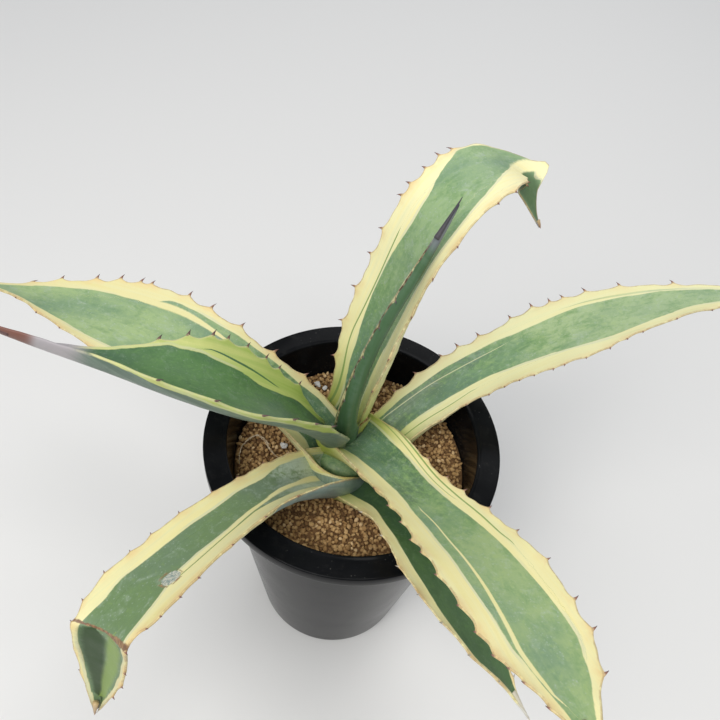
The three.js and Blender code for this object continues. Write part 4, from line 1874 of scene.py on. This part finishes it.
def crown() -> list[AgaveLeaf]:
    """The leaves, from the inner to the outer.

    Returns:
        The leaves, ready to build.
    """
    spear = AgaveLeaf(
        node="leaf_spear", base=(-7, -6, 155), length=158, seed=2, thick=0.3, slot="young_leaf",
        heading=(235, 230, 226, 225, 230), pitch=(84, 96, 110, 121, 123), twist=(0, 0, 5),
        width=(7.5, 8.6, 6.6, 4.0, 3.1, 1.6), bend=(260, 265, 265, 270),
        roll=226, wrap=400, ripple=0.0, edge=0.6, across=41, push=(0.5, 7, 10), push_until=0.25,
        left=MarginPlan(
            band=((0, 0.35), (1, 0.35)), teeth=(0.33, 0.43, 0.505, 0.61, 0.7), tooth=1.5, hump=0.5,
        ),
        right=MarginPlan(band=((0, 0.4), (1, 0.4)), teeth=(0.4, 0.52, 0.64), tooth=0.8, hump=0.2),
        horn=((0, 0), (0.8, 0.0), (0.9, 0.7), (0.97, 1.0), (1, 1.3)), spine_length=16,
        # deep is painted light and sheen here: the base is made far paler and bluer than the rest so that it
        # reads lit inside the shade of the crown
        finish=LeafFinish(
            deep=(0.27, 0.52, 0.4), mid=(0.08, 0.165, 0.075), pale=(0.1, 0.19, 0.08),
            under=(0.06, 0.13, 0.055), cool=(0.06, 0.13, 0.08), bloom=(0.17, 0.26, 0.19),
            horn=(0.17, 0.19, 0.2), horn_end=(0.06, 0.06, 0.075), rim=(0.1, 0.05, 0.03), rim_share=1.0,
            fresh=(0.13, 0.24, 0.08),
        ),
        horn_finish=HornFinish(root=(0.16, 0.12, 0.1), middle=(0.1, 0.085, 0.095), end=(0.05, 0.048, 0.058)),
    )
    back = AgaveLeaf(
        node="leaf_back", base=(-5, 14, 151), length=225, seed=3,
        heading=(53, 50, 47, 48, 45), pitch=(82, 77, 73, -2, -74), twist=(6, 17, -20),
        width=(20, 15, 21, 21, 17, 5), bend=(105, 85, 25, 30),
        fold=Fold(0.84, 0.08, -35, -52),
        left=MarginPlan(
            band=(
                (0, 6), (0.09, 6.9), (0.15, 6.8), (0.21, 7.8), (0.265, 9.3), (0.37, 8.3), (0.475, 8.9),
                (0.58, 11.9), (0.63, 11.1), (0.67, 7.9), (0.725, 3.1), (0.76, 0.3), (0.86, 0), (0.88, -1.6),
                (0.888, -2.2), (0.894, -1.5), (0.9, 2), (0.906, 1.5), (0.912, -1), (0.93, 1.6), (0.97, 1.0),
                (1, 0.5),
            ),
            trim=(
                (0, 0), (0.68, 0), (0.72, 1.5), (0.78, 0.8), (0.865, 0.3), (0.888, 2.6), (0.9, 8.2),
                (0.912, 2.6), (0.93, -1.2), (0.96, -1.8), (1, 0),
            ),
            teeth=(0.2, 0.29, 0.378, 0.46, 0.522, 0.605, 0.635, 0.68, 0.722, 0.753),
        ),
        right=MarginPlan(
            band=(
                (0, 9), (0.11, 10.7), (0.195, 12.7), (0.26, 14), (0.34, 11.3), (0.41, 8.9), (0.47, 7.7),
                (0.525, 6.2), (0.6, 5.5), (0.67, 6.8), (0.72, 9.2), (0.762, 12), (0.81, 14.5), (0.84, 15.3),
                (0.85, 13), (0.86, 3), (0.867, 0.1), (0.95, 0.1), (1, 0.1),
            ),
            trim=(
                (0, -11), (0.06, -9), (0.09, -5), (0.12, -1.5), (0.16, 0), (0.23, 1.2), (0.36, 2.7),
                (0.455, 0.8), (0.54, 1.2), (0.65, 0), (0.74, -0.3), (0.78, -1.8), (0.81, -4), (0.845, -5),
                (0.87, -2.5), (0.89, 0), (1, 0),
            ),
            teeth=(0.25, 0.35, 0.455, 0.542, 0.602, 0.692, 0.738, 0.8, 0.868), tooth=1.5, hump=0.8,
        ),
        stripes=(
            # painted shade over the hanging flap at the leaf's end, in the leaf's shade colour
            Stripe(
                Margin.RIGHT, Tint.DEEP,
                ((0.84, 4, 0.1), (0.87, 6, 5.5), (0.9, 7, 7), (0.93, 5.5, 5.5), (0.97, 3, 3), (1, 0.5, 0.5)),
                0.7, 0.4,
            ),
            Stripe(
                Margin.RIGHT, Tint.CREAM,
                (
                    (0.83, 11.5, 3.2), (0.855, 11.5, 4.5), (0.865, 12.2, 4.4), (0.875, 14.1, 4.6),
                    (0.885, 16.6, 4.3), (0.895, 18.6, 3.4), (0.9, 19.6, 2.6), (0.908, 20, 0.1),
                ),
            ),
            Stripe(
                Margin.LEFT, Tint.OLIVE,
                ((0.08, 2.2, 0.7), (0.185, 4.4, 0.45), (0.25, 5.1, 0.3), (0.38, 7.1, 0.3), (0.53, 7.7, 0.3)),
            ),
        ),
        horn=((0, 0), (0.95, 0.0), (0.985, 0.5), (1.0, 1.0)), spine_length=3.5, spine_tone=(0.1, 0.4),
        finish=LeafFinish(
            deep=(0.115, 0.22, 0.115), pale=(0.31, 0.44, 0.22), cream=(0.92, 0.84, 0.42),
            ivory=(0.93, 0.89, 0.56), lime_until=0.34, bloom_share=0.45, horn_end=(0.2, 0.2, 0.17),
        ),
    )
    left_upper = AgaveLeaf(
        node="leaf_left_upper", base=(-3, -1, 151), length=207, seed=4, thick=0.8,
        heading=(239, 221, 208, 186, 179), pitch=(71, 59, 41, 19, 19), twist=(-9, -11, -95),
        width=(17, 15.5, 19, 26, 13, 5), bend=(140, 110, 95, 75),
        push=(-4, 3.5, 3),
        left=MarginPlan(
            band=(
                (0, 2.2), (0.2, 2.2), (0.25, 1.4), (0.29, 1.4), (0.33, 2.5), (0.37, 3.5), (0.45, 2.3),
                (0.6, 1.8), (0.8, 1.2), (1, 0.6),
            ),
            trim=(
                (0, -13), (0.06, -10.5), (0.13, -7), (0.2, -3.4), (0.25, -2.4), (0.3, -1.8), (0.36, -0.3),
                (0.45, 0.8), (0.7, 0), (0.8, -1.5), (0.87, -3), (0.94, -2), (1, 0),
            ),
            teeth=(0.36, 0.43, 0.49, 0.55, 0.62, 0.7), tooth=2.6, hump=0.6,
        ),
        right=MarginPlan(
            band=(
                (0, 3), (0.1, 5.2), (0.18, 7.6), (0.24, 7.4), (0.3, 6.8), (0.38, 10.3), (0.445, 12.2),
                (0.5, 10.8), (0.56, 9.5), (0.61, 6.3), (0.65, 4.4), (0.68, 1.9), (0.8, 1.5), (1, 1),
            ),
            trim=((0, -1), (0.1, -3), (0.18, -4.5), (0.25, -2.5), (0.31, 0), (1, 0)),
            teeth=(0.3, 0.38, 0.43, 0.488, 0.542, 0.582, 0.638, 0.7),
        ),
        stripes=(Stripe(Margin.RIGHT, Tint.GREEN, ((0.4, 7.5, 0.3), (0.5, 7.0, 0.5), (0.58, 5.0, 0.2))),),
        horn=((0, 0), (0.76, 0.0), (0.86, 0.75), (0.89, 0.85), (0.92, 1.2), (1, 1.4)), spine_tone=(0.45, 0.9),
        finish=LeafFinish(
            deep=(0.045, 0.105, 0.045), mid=(0.062, 0.15, 0.045), pale=(0.09, 0.2, 0.06),
            cool=(0.05, 0.12, 0.065), lime_until=1.5, lime=(0.34, 0.46, 0.085), horn=(0.4, 0.37, 0.38),
            horn_end=(0.2, 0.085, 0.06), under=(0.1, 0.155, 0.115), bloom=(0.27, 0.34, 0.27),
            bloom_share=0.25, blush=(0.5, 0.5, 0.17), rim=(0.55, 0.52, 0.3), fresh=(0.14, 0.28, 0.06),
        ),
        horn_finish=HornFinish(root=(0.27, 0.2, 0.12), middle=(0.12, 0.06, 0.055), end=(0.05, 0.03, 0.035)),
    )
    front_right = AgaveLeaf(
        node="leaf_front_right", base=(1, 4, 153), length=209, seed=5,
        heading=(313, 302, 297, 293, 281), pitch=(39, 35, 36, 26, 26), twist=(-4, 8, -2),
        width=(22.5, 19.5, 16.5, 21, 19, 7), bend=(165, 44, 25, 50),
        push=(-1, 3.5, 2.5),
        left=MarginPlan(
            band=(
                (0, 9), (0.1, 8.6), (0.2, 7.4), (0.325, 7.1), (0.42, 8.4), (0.51, 8.8), (0.65, 7.6),
                (0.75, 6.3), (0.835, 5.8), (0.9, 2.8), (1, 0.8),
            ),
            trim=(
                (0, -5), (0.06, -4), (0.12, -1.8), (0.24, -0.8), (0.36, 0.2), (0.5, -0.4), (0.64, 1.2),
                (0.72, 0), (0.825, -1), (0.9, 0), (1, 0),
            ),
            teeth=(0.22, 0.3, 0.362, 0.45, 0.54, 0.638, 0.742, 0.805, 0.885), tooth=2.0, hump=0.9,
        ),
        right=MarginPlan(
            band=(
                (0, 9), (0.15, 9.5), (0.28, 9.6), (0.37, 8.6), (0.48, 10.3), (0.565, 10.6), (0.632, 9.7),
                (0.738, 9.5), (0.828, 8.5), (0.88, 5.2), (0.91, 3.4), (1, 1),
            ),
            trim=(
                (0, 3), (0.06, 1.8), (0.12, 1.2), (0.2, 0.4), (0.3, 0), (0.42, -1.3), (0.54, -0.9),
                (0.62, -0.4), (0.72, -0.9), (0.8, -1.4), (0.86, -1), (0.9, 0), (1, 0),
            ),
            teeth=(0.2, 0.28, 0.36, 0.44, 0.512, 0.565, 0.633, 0.712, 0.77, 0.822, 0.85, 0.88, 0.925),
            tooth=1.1, hump=1.1,
        ),
        stripes=(
            Stripe(
                Margin.LEFT, Tint.OLIVE,
                ((0.1, 2.0, 0.4), (0.34, 2.8, 0.35), (0.46, 4.4, 0.35), (0.53, 5.2, 0.3), (0.56, 4.6, 0.2)),
            ),
            Stripe(Margin.LEFT, Tint.OLIVE, ((0.05, 4.2, 0.3), (0.25, 4.8, 0.25), (0.36, 5.2, 0.15)), 0.8),
            Stripe(
                Margin.RIGHT, Tint.CREAM,
                (
                    (0.39, 12.8, 0.25), (0.48, 15.0, 0.35), (0.56, 15.3, 0.45), (0.64, 14.8, 0.6),
                    (0.743, 12.8, 0.8), (0.828, 9.9, 0.9), (0.87, 7.2, 0.8), (0.9, 5.0, 0.5),
                ),
                0.9,
            ),
        ),
        finish=LeafFinish(lime_until=0.17, mid=(0.19, 0.32, 0.12)),
    )
    right = AgaveLeaf(
        node="leaf_right", base=(10, 4, 147), length=223, seed=6,
        heading=(48, 31, 21, 12, 3), pitch=(45, 32, 26, 18, 11), twist=(0, 0, 12),
        width=(16.5, 12.5, 16.5, 18.5, 10.5, 5), bend=(120, 65, 35, 35),
        left=MarginPlan(
            band=(
                (0, 2.2), (0.145, 2.5), (0.2, 4.2), (0.26, 4.9), (0.31, 6.1), (0.41, 7.5), (0.46, 8.6),
                (0.51, 8.4), (0.6, 7.1), (0.71, 4.8), (0.81, 2.4), (0.93, 1.4), (1, 0.6),
            ),
            trim=(
                (0, 0), (0.16, 1.4), (0.27, -0.3), (0.41, -1.4), (0.5, 0), (0.57, -0.3), (0.7, 0.9), (1, 0),
            ),
            teeth=(0.15, 0.21, 0.278, 0.32, 0.372, 0.452, 0.505, 0.545, 0.575, 0.625, 0.698, 0.808),
        ),
        right=MarginPlan(
            band=(
                (0, 8), (0.115, 10), (0.22, 10.5), (0.325, 11.4), (0.425, 9.6), (0.52, 7.8), (0.6, 5.5),
                (0.66, 3.8), (0.75, 3.9), (0.82, 4.8), (0.93, 2), (1, 0.6),
            ),
            trim=(
                (0, 1), (0.1, 1.4), (0.2, 1.5), (0.283, -1), (0.36, 0.2), (0.455, 1.4), (0.55, 2.2),
                (0.65, 1.5), (0.79, 1.4), (1, 0),
            ),
            teeth=(0.2, 0.27, 0.328, 0.368, 0.405, 0.44, 0.485, 0.512, 0.562, 0.62, 0.662, 0.7, 0.78, 0.86),
            tooth=1.4, hump=0.7,
        ),
        stripes=(
            Stripe(
                Margin.LEFT, Tint.WHITE,
                ((0.1, 3.6, 0.25), (0.2, 6.5, 0.25), (0.3, 9.7, 0.25), (0.4, 11.0, 0.15)), 0.6,
            ),
            Stripe(
                Margin.LEFT, Tint.GREEN,
                ((0.58, 5.4, 0.1), (0.64, 4.5, 0.4), (0.7, 3.6, 0.55), (0.76, 2.4, 0.4), (0.82, 1.6, 0.1)),
                0.55, 0.6,
            ),
            Stripe(
                Margin.RIGHT, Tint.OLIVE,
                ((0.05, 7, 0.4), (0.15, 5.2, 0.35), (0.21, 5.3, 0.3), (0.29, 7.4, 0.2)),
            ),
        ),
        finish=LeafFinish(
            deep=(0.11, 0.18, 0.105), pale=(0.36, 0.47, 0.25), pale_from=0.16, lime_until=0.2,
            cream=(0.74, 0.7, 0.36), ivory=(0.79, 0.77, 0.47), blush=(0.76, 0.63, 0.34),
        ),
    )
    left_lower = AgaveLeaf(
        node="leaf_left_lower", base=(-10, 2, 149), length=204, seed=7,
        heading=(156, 168, 177, 177, 181), pitch=(53, 33, 15, 7, -2), twist=(8, 8, -40),
        width=(15.5, 15.5, 15, 24, 14, 4.5), bend=(110, 65, 25, 45),
        left=MarginPlan(
            band=(
                (0, -22.5), (0.03, -11), (0.055, -1), (0.08, 4.5), (0.1, 6), (0.2, 4.5), (0.6, 4.6),
                (0.66, 3.6), (0.71, 2.4), (0.81, 1.6), (0.87, 1.2), (1, 0.6),
            ),
            trim=(
                (0, 24), (0.03, 12.5), (0.06, 6.5), (0.09, 5), (0.13, 4), (0.2, 2.2), (0.3, 0), (0.6, 0.5),
                (0.67, 2), (0.72, 2.7), (0.8, 1.7), (0.9, 0), (1, 0),
            ),
            teeth=(0.3, 0.4, 0.5, 0.6, 0.67, 0.745, 0.808, 0.87), tooth=1.1, hump=0.8,
        ),
        right=MarginPlan(
            band=(
                (0, 3.5), (0.13, 3.5), (0.2, 4.7), (0.32, 3.5), (0.37, 3.9), (0.425, 5.5), (0.48, 6.3),
                (0.55, 7), (0.585, 9.5), (0.605, 10.6), (0.645, 10), (0.69, 8.4), (0.74, 6.4), (0.81, 4.9),
                (0.875, 3.2), (1, 0.8),
            ),
            trim=((0, 0), (0.27, -1), (0.38, -0.5), (0.43, -1.6), (0.54, -2), (0.6, -1), (0.7, 0), (1, 0)),
            teeth=(0.2, 0.29, 0.382, 0.46, 0.518, 0.612, 0.638, 0.685, 0.74, 0.818, 0.88), tooth=2.7,
            hump=1.3,
        ),
        stripes=(
            Stripe(
                Margin.RIGHT, Tint.CREAM,
                ((0.38, 9.3, 0.3), (0.44, 9.9, 1.1), (0.5, 10.2, 1.6), (0.55, 10.5, 1.8), (0.6, 10.3, 1.2)),
            ),
        ),
        finish=LeafFinish(
            mid=(0.21, 0.33, 0.14), pale=(0.35, 0.47, 0.22), bloom_share=0.4, lime_until=0.08,
            lime=(0.58, 0.54, 0.17), cream=(0.75, 0.68, 0.31), ivory=(0.78, 0.74, 0.43),
        ),
    )
    front_left = AgaveLeaf(
        node="leaf_front_left", base=(-3, -7, 147), length=214, seed=8,
        heading=(235, 236, 238, 236, 235), pitch=(46, 33, 11, -11, -31), twist=(5, -26, 7),
        width=(19, 18.3, 15.8, 19, 15.5, 6.5), bend=(200, 80, 45, 30),
        push=(0, -2.5, -4.5), under_shift=24, fold=Fold(0.71, 0.04, 244, -73, dry=0.8, skew=0.03, keel=2.6),
        left=MarginPlan(
            band=(
                (0, 22), (0.12, 22.4), (0.2, 19.6), (0.265, 18.2), (0.33, 16), (0.39, 15.5), (0.44, 15),
                (0.49, 15.5), (0.53, 16.2), (0.565, 16), (0.625, 11.7), (0.675, 8.6), (0.71, 7.2), (0.8, 6.6),
                (0.92, 3.2), (1, 0.8),
            ),
            trim=(
                (0, 0), (0.14, 0.6), (0.2, 0.4), (0.25, -1.6), (0.29, -3), (0.36, -3.2), (0.44, -3.2),
                (0.54, -4), (0.585, -2.9), (0.63, -0.9), (0.66, -0.7), (0.69, -3.4), (0.73, -4.6), (0.82, -4),
                (0.92, -2), (1, 0),
            ),
            teeth=(0.3, 0.4, 0.49, 0.57, 0.612, 0.652, 0.678, 0.71, 0.78, 0.84, 0.9), tooth=1.3, hump=0.5,
        ),
        right=MarginPlan(
            band=(
                (0, 3), (0.2, 2.8), (0.25, 4.2), (0.29, 5.3), (0.33, 5), (0.43, 6.5), (0.51, 7.2),
                (0.56, 7.4), (0.65, 6.4), (0.7, 7.6), (0.75, 6.6), (0.82, 6.6), (0.92, 3.4), (1, 0.8),
            ),
            trim=(
                (0, 0), (0.4, 0.5), (0.57, 0), (0.66, 0.3), (0.71, -1.2), (0.75, -3.4), (0.82, -4.4),
                (0.92, -2), (1, 0),
            ),
            teeth=(0.17, 0.25, 0.33, 0.398, 0.48, 0.55, 0.602, 0.662, 0.72, 0.763, 0.83, 0.89), tooth=1.2,
            hump=0.45,
        ),
        stripes=(
            Stripe(
                Margin.LEFT, Tint.GREEN,
                (
                    (0.0, 15, 4), (0.1, 15.6, 3.4), (0.165, 14.8, 2.9), (0.23, 13.6, 2.6), (0.3, 12.5, 2.0),
                    (0.34, 12.6, 1.1), (0.38, 12.8, 0.5), (0.42, 12.4, 0.3),
                ),
            ),
            Stripe(
                Margin.LEFT, Tint.OLIVE,
                ((0.38, 12.8, 0.4), (0.45, 12.0, 0.32), (0.52, 12.0, 0.3), (0.59, 12.2, 0.2)),
            ),
            # painted shade: the shaded half of the folded, keeled flap
            Stripe(
                Margin.RIGHT, Tint.DEEP, ((0.765, 11.6, 4.9), (0.85, 10.4, 3.9), (0.94, 5.2, 1.7)), 0.92,
                0.45,
            ),
            # painted light: the lit half of the folded, keeled flap, in the leaf's fresh green
            Stripe(
                Margin.LEFT, Tint.FRESH, ((0.74, 12.6, 3.8), (0.85, 9.8, 2.8), (0.93, 4.8, 1.4)), 0.8, 0.45,
            ),
        ),
        scar=Scar(0.592, 14.8, 3.5), spine_length=8, spine_tone=(0.0, 0.35),
        # deep is painted light here: a pale grey-green that lifts the leaf's base out of the shade of the
        # leaves above it
        finish=LeafFinish(
            deep=(0.54, 0.64, 0.51), mid=(0.15, 0.235, 0.1), pale=(0.16, 0.255, 0.11),
            cool=(0.15, 0.215, 0.155), shade=(0.022, 0.052, 0.012), horn=(0.55, 0.52, 0.42),
            horn_end=(0.36, 0.29, 0.21), lime_until=0.1, pale_from=0.08, pale_until=0.5,
            under=(0.2, 0.28, 0.25), bloom_share=0.4, fresh=(0.25, 0.36, 0.09),
        ),
    )
    front_lower = AgaveLeaf(
        node="leaf_front_lower", base=(2, -12, 149), length=148, seed=9,
        heading=(313, 308, 304, 308, 314), pitch=(47, 28, 8, -7, -20), twist=(-15, 2, 41),
        width=(16.5, 16.5, 13, 16, 10, 2.2), bend=(115, 60, 40, 60),
        left=MarginPlan(
            band=((0, 4), (0.6, 4), (0.85, 1.2), (1, 0.5)),
            trim=((0, -6), (0.08, -4), (0.16, -1), (0.25, 0), (1, 0)),
            teeth=(0.25, 0.37, 0.49, 0.6, 0.71, 0.82, 0.9), tooth=1.6, hump=0.7,
        ),
        right=MarginPlan(
            band=(
                (0, 7.5), (0.22, 6.9), (0.34, 4.2), (0.43, 5), (0.5, 5.3), (0.56, 5.4), (0.61, 4.8),
                (0.7, 2.6), (0.75, 1.3), (1, 0.6),
            ),
            teeth=(0.25, 0.38, 0.5, 0.6, 0.69, 0.79, 0.88), tooth=1.5, hump=0.6,
        ),
        horn=((0, 0), (0.92, 0.0), (0.96, 0.6), (1.0, 1.1)), spine_tone=(0.0, 0.1),
        # The dark blade greens are partly the leaf's own dark green and partly painted shade from the leaf
        # that hangs over it.
        finish=LeafFinish(
            deep=(0.05, 0.105, 0.04), mid=(0.065, 0.13, 0.045), pale=(0.09, 0.17, 0.065),
            cool=(0.05, 0.105, 0.055), lime_until=0.3, bloom=(0.2, 0.28, 0.2), bloom_share=0.2,
            fresh=(0.11, 0.22, 0.05), horn=(0.62, 0.6, 0.52), horn_end=(0.5, 0.46, 0.4),
            cream=(0.94, 0.87, 0.44), ivory=(0.95, 0.91, 0.56),
        ),
        horn_finish=HornFinish(root=(0.62, 0.57, 0.46), middle=(0.5, 0.44, 0.34), end=(0.3, 0.24, 0.18)),
    )
    return [spear, back, left_upper, front_right, right, left_lower, front_left, front_lower]


# -------- studio


@dataclass(frozen=True)
class Lamp:
    """One soft square lamp: its place and side in metres, its power in watts, and its tint."""

    name: str
    at: tuple[float, float, float]
    side: float
    power: float
    tint: Colour

    def hang(self, aim: Vector) -> None:
        """Hangs the lamp.

        Args:
            aim: The place that it shines at, in metres.
        """
        data = bpy.data.lights.new(self.name, "AREA")
        data.size, data.energy, data.color = self.side, self.power, self.tint
        lamp = bpy.data.objects.new(self.name, data)
        lamp.location = self.at
        lamp.rotation_euler = (aim - Vector(self.at)).to_track_quat("-Z", "Y").to_euler()
        bpy.context.scene.collection.objects.link(lamp)


@dataclass
class Studio:
    """A pale floor, soft light and the camera."""

    floor_colour: Colour = (0.80, 0.79, 0.77)
    floor_roughness: float = 0.85
    floor_half: float = 6.0
    sky: Colour = (0.86, 0.90, 0.96)
    sky_strength: float = 0.5
    aim: Sequence[float] = (0, 0, 0.18)
    lamps: Sequence[Lamp] = (
        Lamp("key", (-0.38, -0.72, 1.35), 0.8, 12.8, (1.0, 0.98, 0.95)),
        Lamp("top", (0.3, -0.1, 1.6), 0.5, 3.8, (1.0, 0.99, 0.97)),
        Lamp("back", (0.3, 1.2, 1.2), 1.0, 4, (1.0, 1.0, 1.0)),
    )
    lens: float = 36.4
    sensor: float = 36.0
    clip_start: float = 0.005
    camera_at: Sequence[float] = (0.0, -0.2037, 0.4794)
    camera_right: Sequence[float] = (0.98688, 0.13006, 0.09565)
    camera_down: Sequence[float] = (0.16121, -0.76178, -0.62746)
    camera_forward: Sequence[float] = (-0.00874, 0.63465, -0.77275)

    def camera(self) -> None:
        """Sets the camera at the view that the object is seen from."""
        data = bpy.data.cameras.new("view")
        data.lens, data.sensor_width, data.clip_start = self.lens, self.sensor, self.clip_start
        camera = bpy.data.objects.new("view", data)
        axes = (self.camera_right, self.camera_down, self.camera_forward)
        right, down, ahead = (Vector(axis).normalized() for axis in axes)
        turn = Matrix((right, -down, -ahead)).transposed()
        camera.matrix_world = Matrix.Translation(self.camera_at) @ turn.to_4x4()
        bpy.context.scene.collection.objects.link(camera)
        bpy.context.scene.camera = camera

    def ground(self) -> None:
        """Lays a wide pale floor."""
        mesh, r = bpy.data.meshes.new("floor"), self.floor_half
        mesh.from_pydata([(-r, -r, 0), (r, -r, 0), (r, r, 0), (-r, r, 0)], [], [(0, 1, 2, 3)])
        floor = bpy.data.objects.new("floor", mesh)
        bpy.context.scene.collection.objects.link(floor)
        s = Shading("floor_pale")
        s.set(Base_Color=self.floor_colour, Roughness=self.floor_roughness)
        dress(floor, s.material)

    def light(self) -> None:
        """Sets the sky and hangs the lamps."""
        world = bpy.data.worlds.new("studio")
        world.use_nodes = True
        sky = world.node_tree.nodes["Background"]
        sky.inputs["Color"].default_value = (*self.sky, 1.0)
        sky.inputs["Strength"].default_value = self.sky_strength
        bpy.context.scene.world = world
        bpy.context.scene.view_settings.view_transform = "Standard"
        for lamp in self.lamps:
            lamp.hang(Vector(self.aim))

    def build(self) -> None:
        """Sets the camera, the floor and the lights."""
        self.camera()
        self.ground()
        self.light()


def main() -> None:
    """Builds the pieces in order."""
    logging.basicConfig(level=logging.INFO, format="%(name)s: %(message)s")
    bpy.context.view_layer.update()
    for part in (Studio(), NurseryPot(), PottingMix(), StemAndFill(), LooseTrim(), *crown()):
        part.build()


if __name__ == "__main__":
    main()
